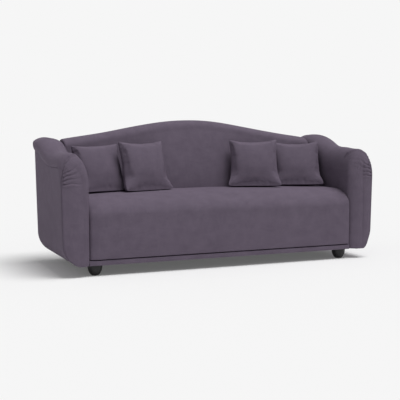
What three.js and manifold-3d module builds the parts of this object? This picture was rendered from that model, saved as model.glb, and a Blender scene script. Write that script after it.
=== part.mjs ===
// Camelback sofa with tight seat and back, rolled arms that rise to the back, half-ball feet and
// four loose pillows. Millimetres, +Z up, the sitter faces -Y, origin under the middle of the sofa.
import * as THREE from "three";
import { mergeVertices } from "three/addons/utils/BufferGeometryUtils.js";
import Module from "manifold-3d";

const wasm = await Module();
wasm.setup();

// Fits and skins
const gap = 0.3;
const coverThickness = 6;
const fillEase = 0.7;
const overrun = 40;

// Whole sofa
const insideWidth = 1754;
const armWidth = 166;
const footHeight = 63;

// Seat
const seatHeight = 455;
const seatCrown = 10;
const seatDepth = 450;
const seatSetback = 10;
const seatFrontCrown = 7;
const waterfallDepth = 190;
const waterfallHeight = 100;
const bandHeight = 31;
const bandSetback = 2;

// Camel back
const crestPeak = 904;
const crestEnd = 784;
const crestShares = [2.06, -1.72, 0.66];
const crestInset = 80;
const backFaceShares = [0.25, 0.5, 0.75];
const backDepth = 275;
const backTopDepth = 71;
const backCrown = 8;
const backTopDrop = 55;
const backPadDepth = 76;
const backTopPad = 56;
const backPanelDrop = 65;

// Arms
const armTopFront = 719;
const armTopRear = 797;
const armRiseStart = 254;
const armRiseEnd = 612;
const armFrontInnerRadius = 42;
const armFrontOuterRadius = 12;
const armFrontTopRadius = 85;
const armRearRadius = 88;
const armRearTopRadius = 28;
const armBottomRadius = 136;
const armTuckFront = 7;
const armTuckRear = 12;
const armFlatShare = 0.15;
const armEndShares = [0, 0.1, 0.35, 1];
const armCrestReach = 100;
const armCrestShare = 0.62;
const springDropFront = 150;
const springDropRear = 60;
const rollDropFront = 128;
const rollDropMiddle = 71;
const rollDropRear = 37;
const rollSettle = 100;
const rollOverhangMiddle = 6;
const rollOverhangRear = 15;
const seamHeightFront = 630;
const seamHeightRear = 722;
const seamRiseStart = 243;
const seamRiseEnd = 742;
const rollLip = 14;
const armPad = 40;
const armRailHeight = 600;

// Timber
const railThickness = 20;
const rearRailThickness = 25;
const postThickness = 25;
const boardThickness = 8;
const seatBuild = 165;
const frontPadDepth = 25;
const rearRailInset = 185;
const stretcherDrop = 50;
const blockLength = 136;
const blockHeight = 65;
const blockDepth = 90;
const rearBlockDepth = 150;
const topRailHeight = 75;
const topRailThickness = 22;
const topRailInset = 35;
const armPostInset = 10;
const armRearPostInset = 36;
const armRearPostPlace = 65;
const postFloorGap = 21;

// Springs, battens and cloths
const springCount = 5;
const springSpacing = 330;
const springWave = 25;
const springWaves = 6;
const springGripShare = 0.06;
const springClearance = 1.6;
const wireSize = 4;
const battenHeight = 25;
const deckThickness = 3;
const dustCoverThickness = 2;
const strapCount = 2;
const strapWidth = 60;
const strapThickness = 3;
const lowestStrapRise = 85;
const strapSpacing = 110;

// Feet
const footRadius = 44;
const footFlatRadius = 20;
const footShoulder = 6;
const footSpacingX = 1662;
const footFrontPlace = 62;
const footRearInset = 92;
const boltRadius = 4;
const boltLength = 90;
const boltBuried = 38;
const boltHoleRadius = 6;

// Pillows
const pillowWidth = 350;
const pillowHeight = 324;
const pillowThickness = 124;
const pillowDrawIn = 17;
const pillowSeam = 10;
const fabricThickness = 3;
const zipOpening = 240;
const zipGap = 2;
const pillowRest = 0.6;
// Where each pillow stands: the arm that it is nearest to, its middle's distance from that arm as a
// share of a pillow's width, its turn and lean in degrees, and the slack between its back and the
// sofa's back as a share of a pillow's thickness.
const pillows = [
  { name: "pillow_1", arm: -1, placeShare: 0.511, turn: 14, lean: 20, slackShare: 0.024 },
  { name: "pillow_2", arm: -1, placeShare: 1.317, turn: 13, lean: 15, slackShare: 0.371 },
  { name: "pillow_3", arm: 1, placeShare: 1.46, turn: -17, lean: 17, slackShare: 0.242 },
  { name: "pillow_4", arm: 1, placeShare: 0.526, turn: -17, lean: 20, slackShare: 0.032 },
];

// Places worked out from the sizes above
const sofaDepth = seatSetback + seatDepth + backDepth;
const front = -sofaDepth / 2;
const back = sofaDepth / 2;
const armInner = insideWidth / 2;
const armOuter = armInner + armWidth;
const armCrest = armInner + armCrestReach;
const innerEnd = armInner - gap;
const seatFront = front + seatSetback;
const seatRear = seatFront + seatDepth;
const seatBottom = footHeight + bandHeight;
const seatHollow = seatFront + frontPadDepth - gap;
const backFront = seatRear + gap;
const crestPlace = back - crestInset;
const backRise = crestPeak - backTopDrop - seatHeight;
const backRake = Math.atan2(crestPlace - backTopDepth - backFront, backRise);
const frameBottom = footHeight + dustCoverThickness + 2 * gap;
const frontRailRear = seatFront + frontPadDepth + railThickness;
const rearRailRear = back - rearRailInset;
const rearRailFront = rearRailRear - rearRailThickness;
const seatRailHeight = seatHeight - seatBuild;
const battenBottom = seatRailHeight + wireSize + 2 * gap;
const deckBottom = battenBottom + battenHeight + gap;
const deckTop = deckBottom + deckThickness;
const padBottom = deckTop + gap;
const frameInner = armInner + coverThickness + armPad;
const frameEnd = frameInner - gap;
const armCavity = front + coverThickness + armPad - armPostInset;
const shellEnd = innerEnd - coverThickness - gap;
const backSkin = back - coverThickness - gap;
const backPanelEnd = armOuter - armRearRadius;
const footX = footSpacingX / 2;
const liner = coverThickness + fillEase;

// Shape tools

function solidOf(geometry) {
  const bare = geometry.clone();
  bare.deleteAttribute("normal");
  bare.deleteAttribute("uv");
  const merged = mergeVertices(bare, 1e-4);
  return new wasm.Manifold(new wasm.Mesh({
    numProp: 3,
    vertProperties: Float32Array.from(merged.attributes.position.array),
    triVerts: Uint32Array.from(merged.index.array),
  }));
}

function geometryOf(solid) {
  const mesh = solid.getMesh();
  const geometry = new THREE.BufferGeometry();
  geometry.setAttribute("position", new THREE.BufferAttribute(mesh.vertProperties, 3));
  geometry.setIndex(new THREE.BufferAttribute(mesh.triVerts, 1));
  return geometry;
}

function cut(geometry, ...tools) {
  return geometryOf(tools.reduce((solid, tool) => solid.subtract(solidOf(tool)), solidOf(geometry)));
}

function common(geometry, tool) {
  return geometryOf(solidOf(geometry).intersect(solidOf(tool)));
}

// A box between two corners.
function block(x0, x1, y0, y1, z0, z1) {
  const box = new THREE.BoxGeometry(x1 - x0, y1 - y0, z1 - z0);
  return box.translate((x0 + x1) / 2, (y0 + y1) / 2, (z0 + z1) / 2);
}

// A round bar that stands on z0.
function upright(radius, x, y, z0, z1, sides = 12) {
  const bar = new THREE.CylinderGeometry(radius, radius, z1 - z0, sides);
  return bar.rotateX(Math.PI / 2).translate(x, y, (z0 + z1) / 2);
}

// An outline in X and Z, given a thickness from y0 to y1.
function plateY(outline, y0, y1) {
  const shape = new THREE.Shape(outline.map(([x, z]) => new THREE.Vector2(x, z)));
  const plate = new THREE.ExtrudeGeometry(shape, { depth: y1 - y0, bevelEnabled: false });
  return plate.rotateX(Math.PI / 2).translate(0, y1, 0);
}

// An outline in Y and Z, given a thickness from x0 to x1.
function plateX(outline, x0, x1) {
  const shape = new THREE.Shape(outline.map(([y, z]) => new THREE.Vector2(y, z)));
  const plate = new THREE.ExtrudeGeometry(shape, { depth: x1 - x0, bevelEnabled: false });
  const turn = new THREE.Matrix4().makeBasis(
    new THREE.Vector3(0, 1, 0),
    new THREE.Vector3(0, 0, 1),
    new THREE.Vector3(1, 0, 0),
  );
  return plate.applyMatrix4(turn).translate(x0, 0, 0);
}

// Turns every face the other way.
function flipped(geometry) {
  const order = geometry.index.array.slice();
  for (let i = 0; i < order.length; i += 3) {
    [order[i], order[i + 1]] = [order[i + 1], order[i]];
  }
  geometry.setIndex(new THREE.BufferAttribute(order, 1));
  return geometry;
}

function mirrored(geometry) {
  return flipped(geometry.clone().scale(-1, 1, 1));
}

// Triangles that fill a flat ring and run the same way round as it does.
function ringFaces(ring) {
  const triangles = THREE.ShapeUtils.triangulateShape(ring, []);
  const [a, b, c] = triangles[0].map((i) => ring[i]);
  const along = THREE.ShapeUtils.area(ring) * THREE.ShapeUtils.area([a, b, c]) > 0;
  return along ? triangles : triangles.map(([i, j, k]) => [j, i, k]);
}

// Joins rings of equal counts into a closed skin. flatten gives a ring's own two coordinates.
function loft(rings, flatten) {
  const count = rings[0].length;
  const points = rings.flat();
  const faces = [];
  for (let r = 0; r + 1 < rings.length; r += 1) {
    for (let i = 0; i < count; i += 1) {
      const j = (i + 1) % count;
      const a = r * count + i;
      const b = r * count + j;
      faces.push(a, b, a + count, b, b + count, a + count);
    }
  }
  const last = (rings.length - 1) * count;
  for (const [a, b, c] of ringFaces(rings[0].map(flatten))) {
    faces.push(b, a, c);
  }
  for (const [a, b, c] of ringFaces(rings.at(-1).map(flatten))) {
    faces.push(last + a, last + b, last + c);
  }
  const geometry = new THREE.BufferGeometry();
  const places = new Float32Array(points.flatMap((p) => [p.x, p.y, p.z]));
  geometry.setAttribute("position", new THREE.BufferAttribute(places, 3));
  geometry.setIndex(new THREE.BufferAttribute(Uint32Array.from(faces), 1));
  return solidOf(geometry).volume() < 0 ? flipped(geometry) : geometry;
}

const flattenXZ = (p) => new THREE.Vector2(p.x, p.z);
const flattenYZ = (p) => new THREE.Vector2(p.y, p.z);

// Points of a quarter ellipse, without its first point.
function quarter(centre, from, to, steps) {
  return Array.from({ length: steps }, (_, i) => {
    const turn = (Math.PI / 2) * ((i + 1) / steps);
    return [
      centre[0] + (from[0] - centre[0]) * Math.cos(turn) + (to[0] - centre[0]) * Math.sin(turn),
      centre[1] + (from[1] - centre[1]) * Math.cos(turn) + (to[1] - centre[1]) * Math.sin(turn),
    ];
  });
}

// How far a rounded edge of this radius has drawn in at a distance from the end.
function drawIn(distance, radius) {
  const left = Math.max(0, radius - distance);
  return radius - Math.sqrt(radius * radius - left * left);
}

const spread = (count) => Array.from({ length: count + 1 }, (_, i) => i / count);

// Seat form

const seatTop = (x) => seatHeight + seatCrown * (1 - (x / armInner) ** 2);

function seatRing(x, inset) {
  const top = seatTop(x) - inset;
  const spring = seatHeight - waterfallHeight;
  const bulge = seatFrontCrown * (1 - (x / armInner) ** 4);
  const face = seatFront + inset;
  const middle = (seatBottom + spring) / 2;
  const outline = [
    [face, seatBottom + gap],
    [face - bulge, middle],
    [face - bulge, spring],
    ...quarter(
      [seatFront + waterfallDepth, spring],
      [face - bulge, spring],
      [seatFront + waterfallDepth, top],
      6,
    ),
    [seatRear, top],
    [seatRear, seatBottom + gap],
  ];
  return outline.map(([y, z]) => new THREE.Vector3(x, y, z));
}

function seatForm(inset) {
  const end = innerEnd - inset;
  return loft(spread(14).map((share) => seatRing(end * (2 * share - 1), inset)), flattenYZ);
}

const seatUnderside = (lowest) => block(-armOuter, armOuter, seatHollow, back, 0, lowest);

const seatSkin = cut(
  seatForm(0),
  common(seatForm(coverThickness), block(-armOuter, armOuter, front, seatRear, 0, crestPeak)),
  block(-shellEnd, shellEnd, seatFront + coverThickness, back, 0, deckTop),
  block(-shellEnd, shellEnd, seatRear - coverThickness, back, 0, seatHeight - coverThickness),
  seatUnderside(padBottom),
);
const seatPad = cut(seatForm(liner), seatUnderside(padBottom));

// Back form

function crest(x) {
  const u = (x / armInner) ** 2;
  const fall = crestShares[0] * u + crestShares[1] * u ** 2 + crestShares[2] * u ** 3;
  return crestPeak - (crestPeak - crestEnd) * fall;
}

const backFace = (z) => backFront + Math.max(0, z - seatHeight) * Math.tan(backRake);

// Stations across the sofa for everything that follows the camel curve.
function camelStations(reach) {
  return spread(20).map((share) => THREE.MathUtils.clamp(armInner * (2 * share - 1), -reach, reach));
}

function backRing(x, inset) {
  const shoulder = crest(x) - backTopDrop;
  const top = crest(x) - inset;
  const bulge = backCrown * (1 - (x / armInner) ** 4);
  const lean = backFaceShares.map((share) => {
    const z = seatHeight + (shoulder - seatHeight) * share;
    return [backFace(z) + inset - bulge * 4 * share * (1 - share), z];
  });
  const outline = [
    [backFront + inset, padBottom],
    [backFront + inset, seatHeight],
    ...lean,
    [backFace(shoulder) + inset, shoulder],
    ...quarter([crestPlace, shoulder], [backFace(shoulder) + inset, shoulder], [crestPlace, top], 5),
    ...quarter([crestPlace, shoulder], [crestPlace, top], [back - inset, shoulder], 5),
    [back - inset, padBottom],
  ];
  return outline.map(([y, z]) => new THREE.Vector3(x, y, z));
}

const backForm = (inset) => loft(camelStations(innerEnd - inset).map((x) => backRing(x, inset)), flattenYZ);

// Everything between depths near and far, under the crest by drop, seen along X.
function underCrest(near, far, drop) {
  const rings = camelStations(armInner).map((x) => {
    const top = crest(x) - drop;
    const outline = [[near(0), 0], [near(seatHeight), seatHeight], [near(top), top], [far, top], [far, 0]];
    return outline.map(([y, z]) => new THREE.Vector3(x, y, z));
  });
  return loft(rings, flattenYZ);
}

const backHollow = underCrest((z) => backFace(z) + backPadDepth, back + overrun, backTopPad);
const backPad = cut(backForm(liner), backHollow);
const panelSlot = underCrest(() => backSkin, back + overrun, backPanelDrop - gap);
const backSkinCover = cut(
  backForm(0),
  cut(backForm(coverThickness), block(-armOuter, armOuter, front, back, 0, padBottom - overrun)),
  block(-shellEnd, shellEnd, backFront + coverThickness, back, 0, padBottom + coverThickness),
  panelSlot,
);

// The outside back panel follows the camel curve, runs on behind the arms and has their round
// lower corners.
function backPanel() {
  const level = crestEnd - backPanelDrop;
  const end = backPanelEnd - gap;
  const foot = end - armTuckRear;
  const reach = (foot - armInner) * (1 - armFlatShare);
  const cornerTop = footHeight + armBottomRadius;
  const corner = [
    [foot - reach, footHeight],
    ...quarter([foot - reach, cornerTop], [foot - reach, footHeight], [foot, cornerTop], 4),
  ];
  const camel = camelStations(armInner).reverse().map((x) => [x, crest(x) - backPanelDrop]);
  const outline = [
    ...corner,
    [end, level],
    ...camel,
    [-end, level],
    ...corner.map(([x, z]) => [-x, z]).reverse(),
  ];
  return plateY(outline, back - coverThickness, back);
}

// Arm form, worked out for the arm at +X

function armSizes(y, inset) {
  const fromFront = y - front;
  const fromRear = back - y;
  const rise = THREE.MathUtils.smoothstep(fromFront, armRiseStart, armRiseEnd);
  const topDrop = drawIn(fromFront, armFrontTopRadius) + drawIn(fromRear, armRearTopRadius);
  const top = THREE.MathUtils.lerp(armTopFront, armTopRear, rise) - topDrop;
  const settle = THREE.MathUtils.smoothstep(fromFront, 0, rollSettle);
  const drop = THREE.MathUtils.lerp(rollDropFront, rollDropMiddle, settle);
  const roll = top - THREE.MathUtils.lerp(drop, rollDropRear, rise);
  const sideDrop = drawIn(fromFront, armFrontOuterRadius) + drawIn(fromRear, armRearRadius);
  const outer = armOuter - sideDrop;
  const inner = armInner + drawIn(fromFront, armFrontInnerRadius);
  const deep = THREE.MathUtils.smoothstep(fromFront, 0, back - front);
  const foot = outer - THREE.MathUtils.lerp(armTuckFront, armTuckRear, deep);
  const edge = outer + THREE.MathUtils.lerp(rollOverhangMiddle * settle, rollOverhangRear, rise);
  return {
    inner: inner + inset,
    outer: outer - inset,
    foot: foot - inset,
    rollEdge: edge - inset,
    crest: Math.min(armCrest, THREE.MathUtils.lerp(inner, edge, armCrestShare)),
    top: top - inset,
    spring: top - THREE.MathUtils.lerp(springDropFront, springDropRear, rise),
    roll,
    seam: Math.min(seamLine(y), roll - rollLip) + inset,
    bottom: footHeight + inset,
    corner: armBottomRadius - inset,
    cornerReach: Math.min(armBottomRadius, (foot - inner) * (1 - armFlatShare)) - inset,
  };
}

// Height of the seam between the roll and the outside panel.
function seamLine(y) {
  const rise = THREE.MathUtils.smoothstep(y - front, seamRiseStart, seamRiseEnd);
  return THREE.MathUtils.lerp(seamHeightFront, seamHeightRear, rise);
}

function armRing(y, inset) {
  const s = armSizes(y, inset);
  const share = inset / (back - front);
  const place = THREE.MathUtils.lerp(y, (front + back) / 2, 2 * share);
  const outline = [
    [s.inner, s.bottom],
    [s.inner, (s.bottom + s.spring) / 2],
    [s.inner, s.spring],
    ...quarter([s.crest, s.spring], [s.inner, s.spring], [s.crest, s.top], 5),
    ...quarter([s.crest, s.roll], [s.crest, s.top], [s.rollEdge, s.roll], 5),
    ...quarter([s.outer, s.roll], [s.rollEdge, s.roll], [s.outer, s.seam], 2),
    [s.foot, s.bottom + s.corner],
    ...quarter(
      [s.foot - s.cornerReach, s.bottom + s.corner],
      [s.foot, s.bottom + s.corner],
      [s.foot - s.cornerReach, s.bottom],
      4,
    ),
  ];
  return outline.map(([x, z]) => new THREE.Vector3(x, place, z));
}

// Depth stations: close together round the two ends, wider between.
function armStations() {
  const nose = [
    ...armEndShares.map((share) => front + armFrontInnerRadius * share),
    front + armFrontTopRadius,
  ];
  const tail = armEndShares.map((share) => back - armRearRadius * share).reverse();
  const middle = spread(8).slice(1, -1).map((share) => THREE.MathUtils.lerp(nose.at(-1), tail[0], share));
  return [...nose, ...middle, ...tail];
}

const armForm = (inset) => loft(armStations().map((y) => armRing(y, inset)), flattenXZ);

// Everything outside the panel edge and under the seam line, from a depth on.
function underSeam(start, drop, edge) {
  const line = spread(14).map((share) => {
    const y = THREE.MathUtils.lerp(start, back, share);
    return [y, seamLine(y) - drop];
  });
  const outline = [[start, 0], ...line, [back + overrun, seamLine(back) - drop], [back + overrun, 0]];
  return plateX(outline.reverse(), edge, armOuter + overrun);
}

const armShell = cut(armForm(0), armForm(coverThickness));
const armPanelStart = front + coverThickness;
const rearWall = (clear) => plateY(
  [
    [armInner - overrun, 0],
    [backPanelEnd - armTuckRear + clear, 0],
    [backPanelEnd - armTuckRear + clear, footHeight + armBottomRadius],
    [backPanelEnd + clear, crestEnd - backPanelDrop + clear],
    [armInner - overrun, crestEnd - backPanelDrop + clear],
  ],
  back - coverThickness - clear,
  back + overrun,
);
const underArm = block(armInner - overrun, frameEnd, seatHollow, back + overrun, 0, padBottom);
const armCover = cut(armShell, underSeam(armPanelStart, 0, frameEnd - gap), rearWall(gap), underArm);
const armPanel = cut(common(armShell, underSeam(armPanelStart + gap, gap, frameInner)), rearWall(gap));
const armFill = cut(
  armForm(liner),
  block(frameEnd, armOuter + overrun, armCavity, back + overrun, 0, armRailHeight + gap),
  underArm,
);

// Arm frame: posts with their outer foot cut to the round corner of the arm
function armPost(y0, y1, outer) {
  const low = footHeight + postFloorGap;
  const outline = [
    [frameInner, low],
    [outer - armTuckRear, footHeight + armBottomRadius],
    [outer, armRailHeight],
    [frameInner, armRailHeight],
  ];
  return plateY(outline, y0, y1);
}

const armPostFront = armCavity + gap;
const armPostRear = back - armRearPostPlace;
const armSpan = [armPostFront + postThickness + gap, armPostRear - gap];
const armFrontPost = armPost(armPostFront, armPostFront + postThickness, armOuter - armPostInset);
const armRearPost = armPost(armPostRear, armPostRear + postThickness, armOuter - armRearPostInset);
const armRailBottom = armRailHeight - postThickness;
const armTopRail = block(
  frameInner, armOuter - armRearPostInset, ...armSpan, armRailBottom, armRailHeight);
const armBoard = block(
  frameInner, frameInner + boardThickness, ...armSpan, seatRailHeight + gap, armRailBottom - gap);
const sideRail = block(
  frameInner, frameInner + postThickness, ...armSpan, footHeight + postFloorGap, seatRailHeight);

// Seat frame

const rail = (y0, y1) => block(-frameEnd, frameEnd, y0, y1, frameBottom, seatRailHeight);
const frontRail = rail(seatFront + frontPadDepth, frontRailRear);
const rearRail = rail(rearRailFront, rearRailRear);
const stretcher = block(
  -railThickness / 2, railThickness / 2,
  frontRailRear + gap, rearRailFront - gap,
  frameBottom, seatRailHeight - stretcherDrop,
);

function cornerBlock(y0, y1, boltY) {
  const solid = block(frameEnd - blockLength, frameEnd, y0, y1, frameBottom, frameBottom + blockHeight);
  const bore = upright(boltRadius + gap, footX, boltY, 0, boltTop + gap);
  return cut(solid, bore);
}

const boltBottom = footHeight - boltBuried;
const boltTop = boltBottom + boltLength;
const frontBoltY = seatFront + footFrontPlace;
const rearBoltY = back - footRearInset;
const frontBlock = cornerBlock(frontRailRear + gap, frontRailRear + gap + blockDepth, frontBoltY);
const rearBlock = cornerBlock(rearRailRear + gap, rearRailRear + gap + rearBlockDepth, rearBoltY);

const batten = (y0, y1) => block(-shellEnd, shellEnd, y0, y1, battenBottom, battenBottom + battenHeight);
const frontBatten = batten(seatFront + frontPadDepth, frontRailRear);
const rearBatten = batten(rearRailFront, rearRailRear);
const deck = block(-shellEnd, shellEnd, seatFront + frontPadDepth, rearRailRear, deckBottom, deckTop);

// Sinuous spring: a flat wave that also arches up to the deck
class SpringPath extends THREE.Curve {
  constructor(x) {
    super();
    this.x = x;
  }

  getPoint(t, target = new THREE.Vector3()) {
    const free = THREE.MathUtils.clamp((t - springGripShare) / (1 - 2 * springGripShare), 0, 1);
    const reach = Math.min(1, springWaves * free, springWaves * (1 - free)) ** 2;
    const start = seatFront + frontPadDepth + wireSize;
    const end = rearRailRear - wireSize;
    const low = seatRailHeight + gap + wireSize / 2;
    const rise = deckBottom - springClearance - wireSize / 2 - low;
    const arch = Math.sin(Math.PI * free) ** 2;
    return target.set(
      this.x + springWave * Math.sin(2 * Math.PI * springWaves * t) * reach,
      THREE.MathUtils.lerp(start, end, t),
      low + rise * arch,
    );
  }
}

function spring(x) {
  const half = wireSize / 2;
  const corners = [[half, 0], [0, half], [-half, 0], [0, -half]];
  const section = new THREE.Shape(corners.map(([x, y]) => new THREE.Vector2(x, y)));
  return new THREE.ExtrudeGeometry(section, {
    steps: 6 * springWaves,
    bevelEnabled: false,
    extrudePath: new SpringPath(x),
  });
}

// Back frame

function backPost(x0, x1, bottom) {
  const top = Math.min(crest(x0), crest(x1)) - backTopPad - topRailHeight - 2 * gap;
  const edge = (z) => Math.max(rearRailRear + gap, backFace(z) + backPadDepth + strapThickness + 2 * gap);
  const bend = seatHeight + (rearRailRear - backFront - backPadDepth - strapThickness) / Math.tan(backRake);
  const outline = [
    [backSkin, bottom],
    [backSkin, top],
    [edge(top), top],
    [edge(bend), bend],
    [edge(0), bottom],
  ];
  return plateX(outline, x0, x1);
}

function topRail() {
  const line = (drop) => camelStations(shellEnd).map((x) => [x, crest(x) - drop]);
  const outline = [...line(backTopPad + gap), ...line(backTopPad + gap + topRailHeight).reverse()];
  const rear = back - topRailInset;
  return plateY(outline, rear - topRailThickness, rear);
}

function strap(z) {
  const y = backFace(z) + backPadDepth + gap + strapThickness / 2;
  const web = new THREE.BoxGeometry(2 * shellEnd, strapThickness, strapWidth);
  return web.rotateX(-backRake).translate(0, y, z);
}

// Underside, band and feet

const feet = [-1, 1].flatMap((side) => [frontBoltY, rearBoltY].map((y) => [side * footX, y]));
const dustCover = cut(
  block(-frameEnd, frameEnd, seatFront + frontPadDepth, backSkin,
    footHeight + gap, footHeight + gap + dustCoverThickness),
  ...feet.map(([x, y]) => upright(boltHoleRadius, x, y, 0, seatBottom)),
);
const band = block(-innerEnd, innerEnd, seatFront + bandSetback, seatHollow, footHeight, seatBottom - gap);

function foot(x, y) {
  const waist = footHeight - footShoulder;
  const fall = waist / Math.sqrt(1 - (footFlatRadius / footRadius) ** 2);
  const steps = 7;
  const side = Array.from({ length: steps + 1 }, (_, i) => {
    const z = waist * (i / steps) ** 1.4;
    return new THREE.Vector2(footRadius * Math.sqrt(1 - ((waist - z) / fall) ** 2), z);
  });
  const profile = [new THREE.Vector2(0, 0), ...side,
    new THREE.Vector2(footRadius, footHeight), new THREE.Vector2(0, footHeight)];
  const turned = new THREE.LatheGeometry(profile, 20).rotateX(Math.PI / 2).translate(x, y, 0);
  return cut(turned, upright(boltRadius + gap, x, y, boltBottom - gap, footHeight + overrun));
}

// Pillow: two crowned faces that meet in a knife edge, with ears and drawn-in sides

function pillowForm(width, height, thickness, drawn) {
  const steps = 8;
  const stops = spread(steps).map((share) => Math.sin((share - 0.5) * Math.PI));
  const rows = (side) => stops.map((v) => stops.map((u) => {
    const crown = Math.sqrt((1 - u * u) * (1 - v * v));
    return new THREE.Vector3(
      u * (width / 2 - drawn * (1 - v * v)),
      side * (thickness / 2) * crown ** 0.8,
      v * (height / 2 - drawn * (1 - u * u)),
    );
  }));
  const places = [];
  const face = (a, b, c) => places.push(...a.toArray(), ...b.toArray(), ...c.toArray());
  for (const side of [-1, 1]) {
    const grid = rows(side);
    for (let j = 0; j < steps; j += 1) {
      for (let i = 0; i < steps; i += 1) {
        const [a, b, c, d] = [grid[j][i], grid[j][i + 1], grid[j + 1][i + 1], grid[j + 1][i]];
        if (side < 0) {
          face(a, b, c);
          face(a, c, d);
        } else {
          face(a, c, b);
          face(a, d, c);
        }
      }
    }
  }
  const geometry = new THREE.BufferGeometry();
  geometry.setAttribute("position", new THREE.BufferAttribute(new Float32Array(places), 3));
  return geometry;
}

function pillowCover() {
  const inner = pillowForm(
    pillowWidth - 2 * pillowSeam,
    pillowHeight - 2 * pillowSeam,
    pillowThickness - 2 * fabricThickness,
    pillowDrawIn,
  );
  const low = -pillowHeight / 2;
  const slit = block(-zipOpening / 2, zipOpening / 2, -zipGap / 2, zipGap / 2,
    low - overrun, low + pillowDrawIn + 2 * pillowSeam);
  return cut(pillowForm(pillowWidth, pillowHeight, pillowThickness, pillowDrawIn), inner, slit);
}

function pillowInsert() {
  const shrink = pillowSeam + gap;
  return pillowForm(
    pillowWidth - 2 * shrink,
    pillowHeight - 2 * shrink,
    pillowThickness - 2 * (fabricThickness + gap),
    pillowDrawIn,
  );
}

// Height at which a posed pillow, placed sideways at x, just clears the crown of the seat.
function restingHeight(posed, x) {
  const places = posed.attributes.position;
  const lift = (_, i) => seatTop(x + places.getX(i)) - places.getZ(i);
  const lifts = Array.from({ length: places.count }, lift);
  return Math.max(...lifts) + pillowRest;
}

// A pillow stands on its two lower ears, leans towards the back and is turned about the vertical.
function pillowGroup({ name, arm, placeShare, turn, lean, slackShare }) {
  const group = new THREE.Group();
  const x = arm * (armInner - placeShare * pillowWidth);
  const cover = pillowCover();
  const insert = pillowInsert();
  const turned = THREE.MathUtils.degToRad(turn);
  const leaned = THREE.MathUtils.degToRad(lean);
  const posed = cover.clone().rotateX(-leaned).rotateZ(turned);
  const againstBack = posed.clone().rotateX(backRake);
  againstBack.computeBoundingBox();
  const depth = againstBack.boundingBox.max.y + backCrown + slackShare * pillowThickness;
  const z = restingHeight(posed, x);
  group.position.set(x, backFace(z) - depth / Math.cos(backRake), z);
  group.rotation.order = "ZXY";
  group.rotation.set(-leaned, 0, turned);
  group.add(piece(`${name}_cover`, cover, fabric()), piece(`${name}_insert`, insert, fibre()));
  return group;
}

// Finishes
const fabric = () => new THREE.MeshStandardMaterial({ color: 0x5d5361, roughness: 0.85, metalness: 0 });
const fibre = () => new THREE.MeshStandardMaterial({ color: 0xe9e6df, roughness: 0.95, metalness: 0 });
const foam = () => new THREE.MeshStandardMaterial({ color: 0xe6d9a8, roughness: 0.9, metalness: 0 });
const timber = () => new THREE.MeshStandardMaterial({ color: 0xc79a63, roughness: 0.7, metalness: 0 });
const steel = () => new THREE.MeshStandardMaterial({ color: 0x9a9da1, roughness: 0.35, metalness: 1 });
const lining = () => new THREE.MeshStandardMaterial({ color: 0x1d1c1e, roughness: 0.95, metalness: 0 });
const webbing = () => new THREE.MeshStandardMaterial({ color: 0x8a7f6e, roughness: 0.9, metalness: 0 });
const lacquer = () => new THREE.MeshStandardMaterial({ color: 0x1b191b, roughness: 0.4, metalness: 0 });

function piece(name, geometry, material) {
  const mesh = new THREE.Mesh(geometry, material);
  mesh.name = name;
  return mesh;
}

// A piece and its mirror image on the other side of the sofa.
function pair(name, geometry, material) {
  return [
    piece(`${name}_right`, geometry, material()),
    piece(`${name}_left`, mirrored(mergeVertices(geometry)), material()),
  ];
}

// The sofa
const sofa = new THREE.Group();

sofa.add(piece("seat_cover", seatSkin, fabric()), piece("seat_foam", seatPad, foam()));
sofa.add(piece("back_cover", backSkinCover, fabric()), piece("back_foam", backPad, foam()));
sofa.add(piece("outside_back_panel", backPanel(), fabric()));
sofa.add(...pair("arm_cover", armCover, fabric), ...pair("arm_foam", armFill, foam));
sofa.add(...pair("outside_arm_panel", armPanel, fabric));
sofa.add(piece("base_band_front", band, fabric()), piece("dust_cover", dustCover, lining()));
sofa.add(...pair("arm_front_post", armFrontPost, timber), ...pair("arm_rear_post", armRearPost, timber));
sofa.add(...pair("arm_top_rail", armTopRail, timber), ...pair("arm_inner_board", armBoard, timber));
sofa.add(...pair("side_rail", sideRail, timber));
sofa.add(piece("front_rail", frontRail, timber()), piece("rear_seat_rail", rearRail, timber()));
sofa.add(piece("seat_stretcher", stretcher, timber()));
sofa.add(...pair("corner_block_front", frontBlock, timber));
sofa.add(...pair("corner_block_rear", rearBlock, timber));
sofa.add(piece("spring_batten_front", frontBatten, timber()));
sofa.add(piece("spring_batten_rear", rearBatten, timber()));
sofa.add(piece("deck_cloth", deck, lining()));
sofa.add(...pair("back_end_post",
  backPost(shellEnd - postThickness, shellEnd, frameBottom + blockHeight + gap), timber));
sofa.add(piece("back_centre_post", backPost(-postThickness / 2, postThickness / 2, frameBottom), timber()));
sofa.add(piece("camel_top_rail", topRail(), timber()));

for (let i = 0; i < springCount; i += 1) {
  const x = (i - (springCount - 1) / 2) * springSpacing;
  sofa.add(piece(`seat_spring_${i + 1}`, spring(x), steel()));
}
for (let i = 0; i < strapCount; i += 1) {
  sofa.add(piece(`back_strap_${i + 1}`, strap(seatHeight + lowestStrapRise + i * strapSpacing), webbing()));
}

const footNames = ["front_left", "rear_left", "front_right", "rear_right"];
feet.forEach(([x, y], i) => {
  sofa.add(piece(`foot_${footNames[i]}`, foot(x, y), lacquer()));
  sofa.add(piece(`foot_bolt_${footNames[i]}`, upright(boltRadius, x, y, boltBottom, boltTop), steel()));
});

sofa.add(...pillows.map(pillowGroup));

export default sofa;
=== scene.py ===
"""Camelback sofa: upholstery, loose pillows, feet, frame finishes, floor, light and camera.

Metres, +Z up. The sitter faces -Y, and the origin is on the floor under the middle of the sofa.
"""
import logging
import math
from dataclasses import dataclass, field
from enum import Enum
from typing import Callable, Sequence

import bmesh
import bpy
import numpy as np
from mathutils import Matrix, Vector, noise


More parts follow.
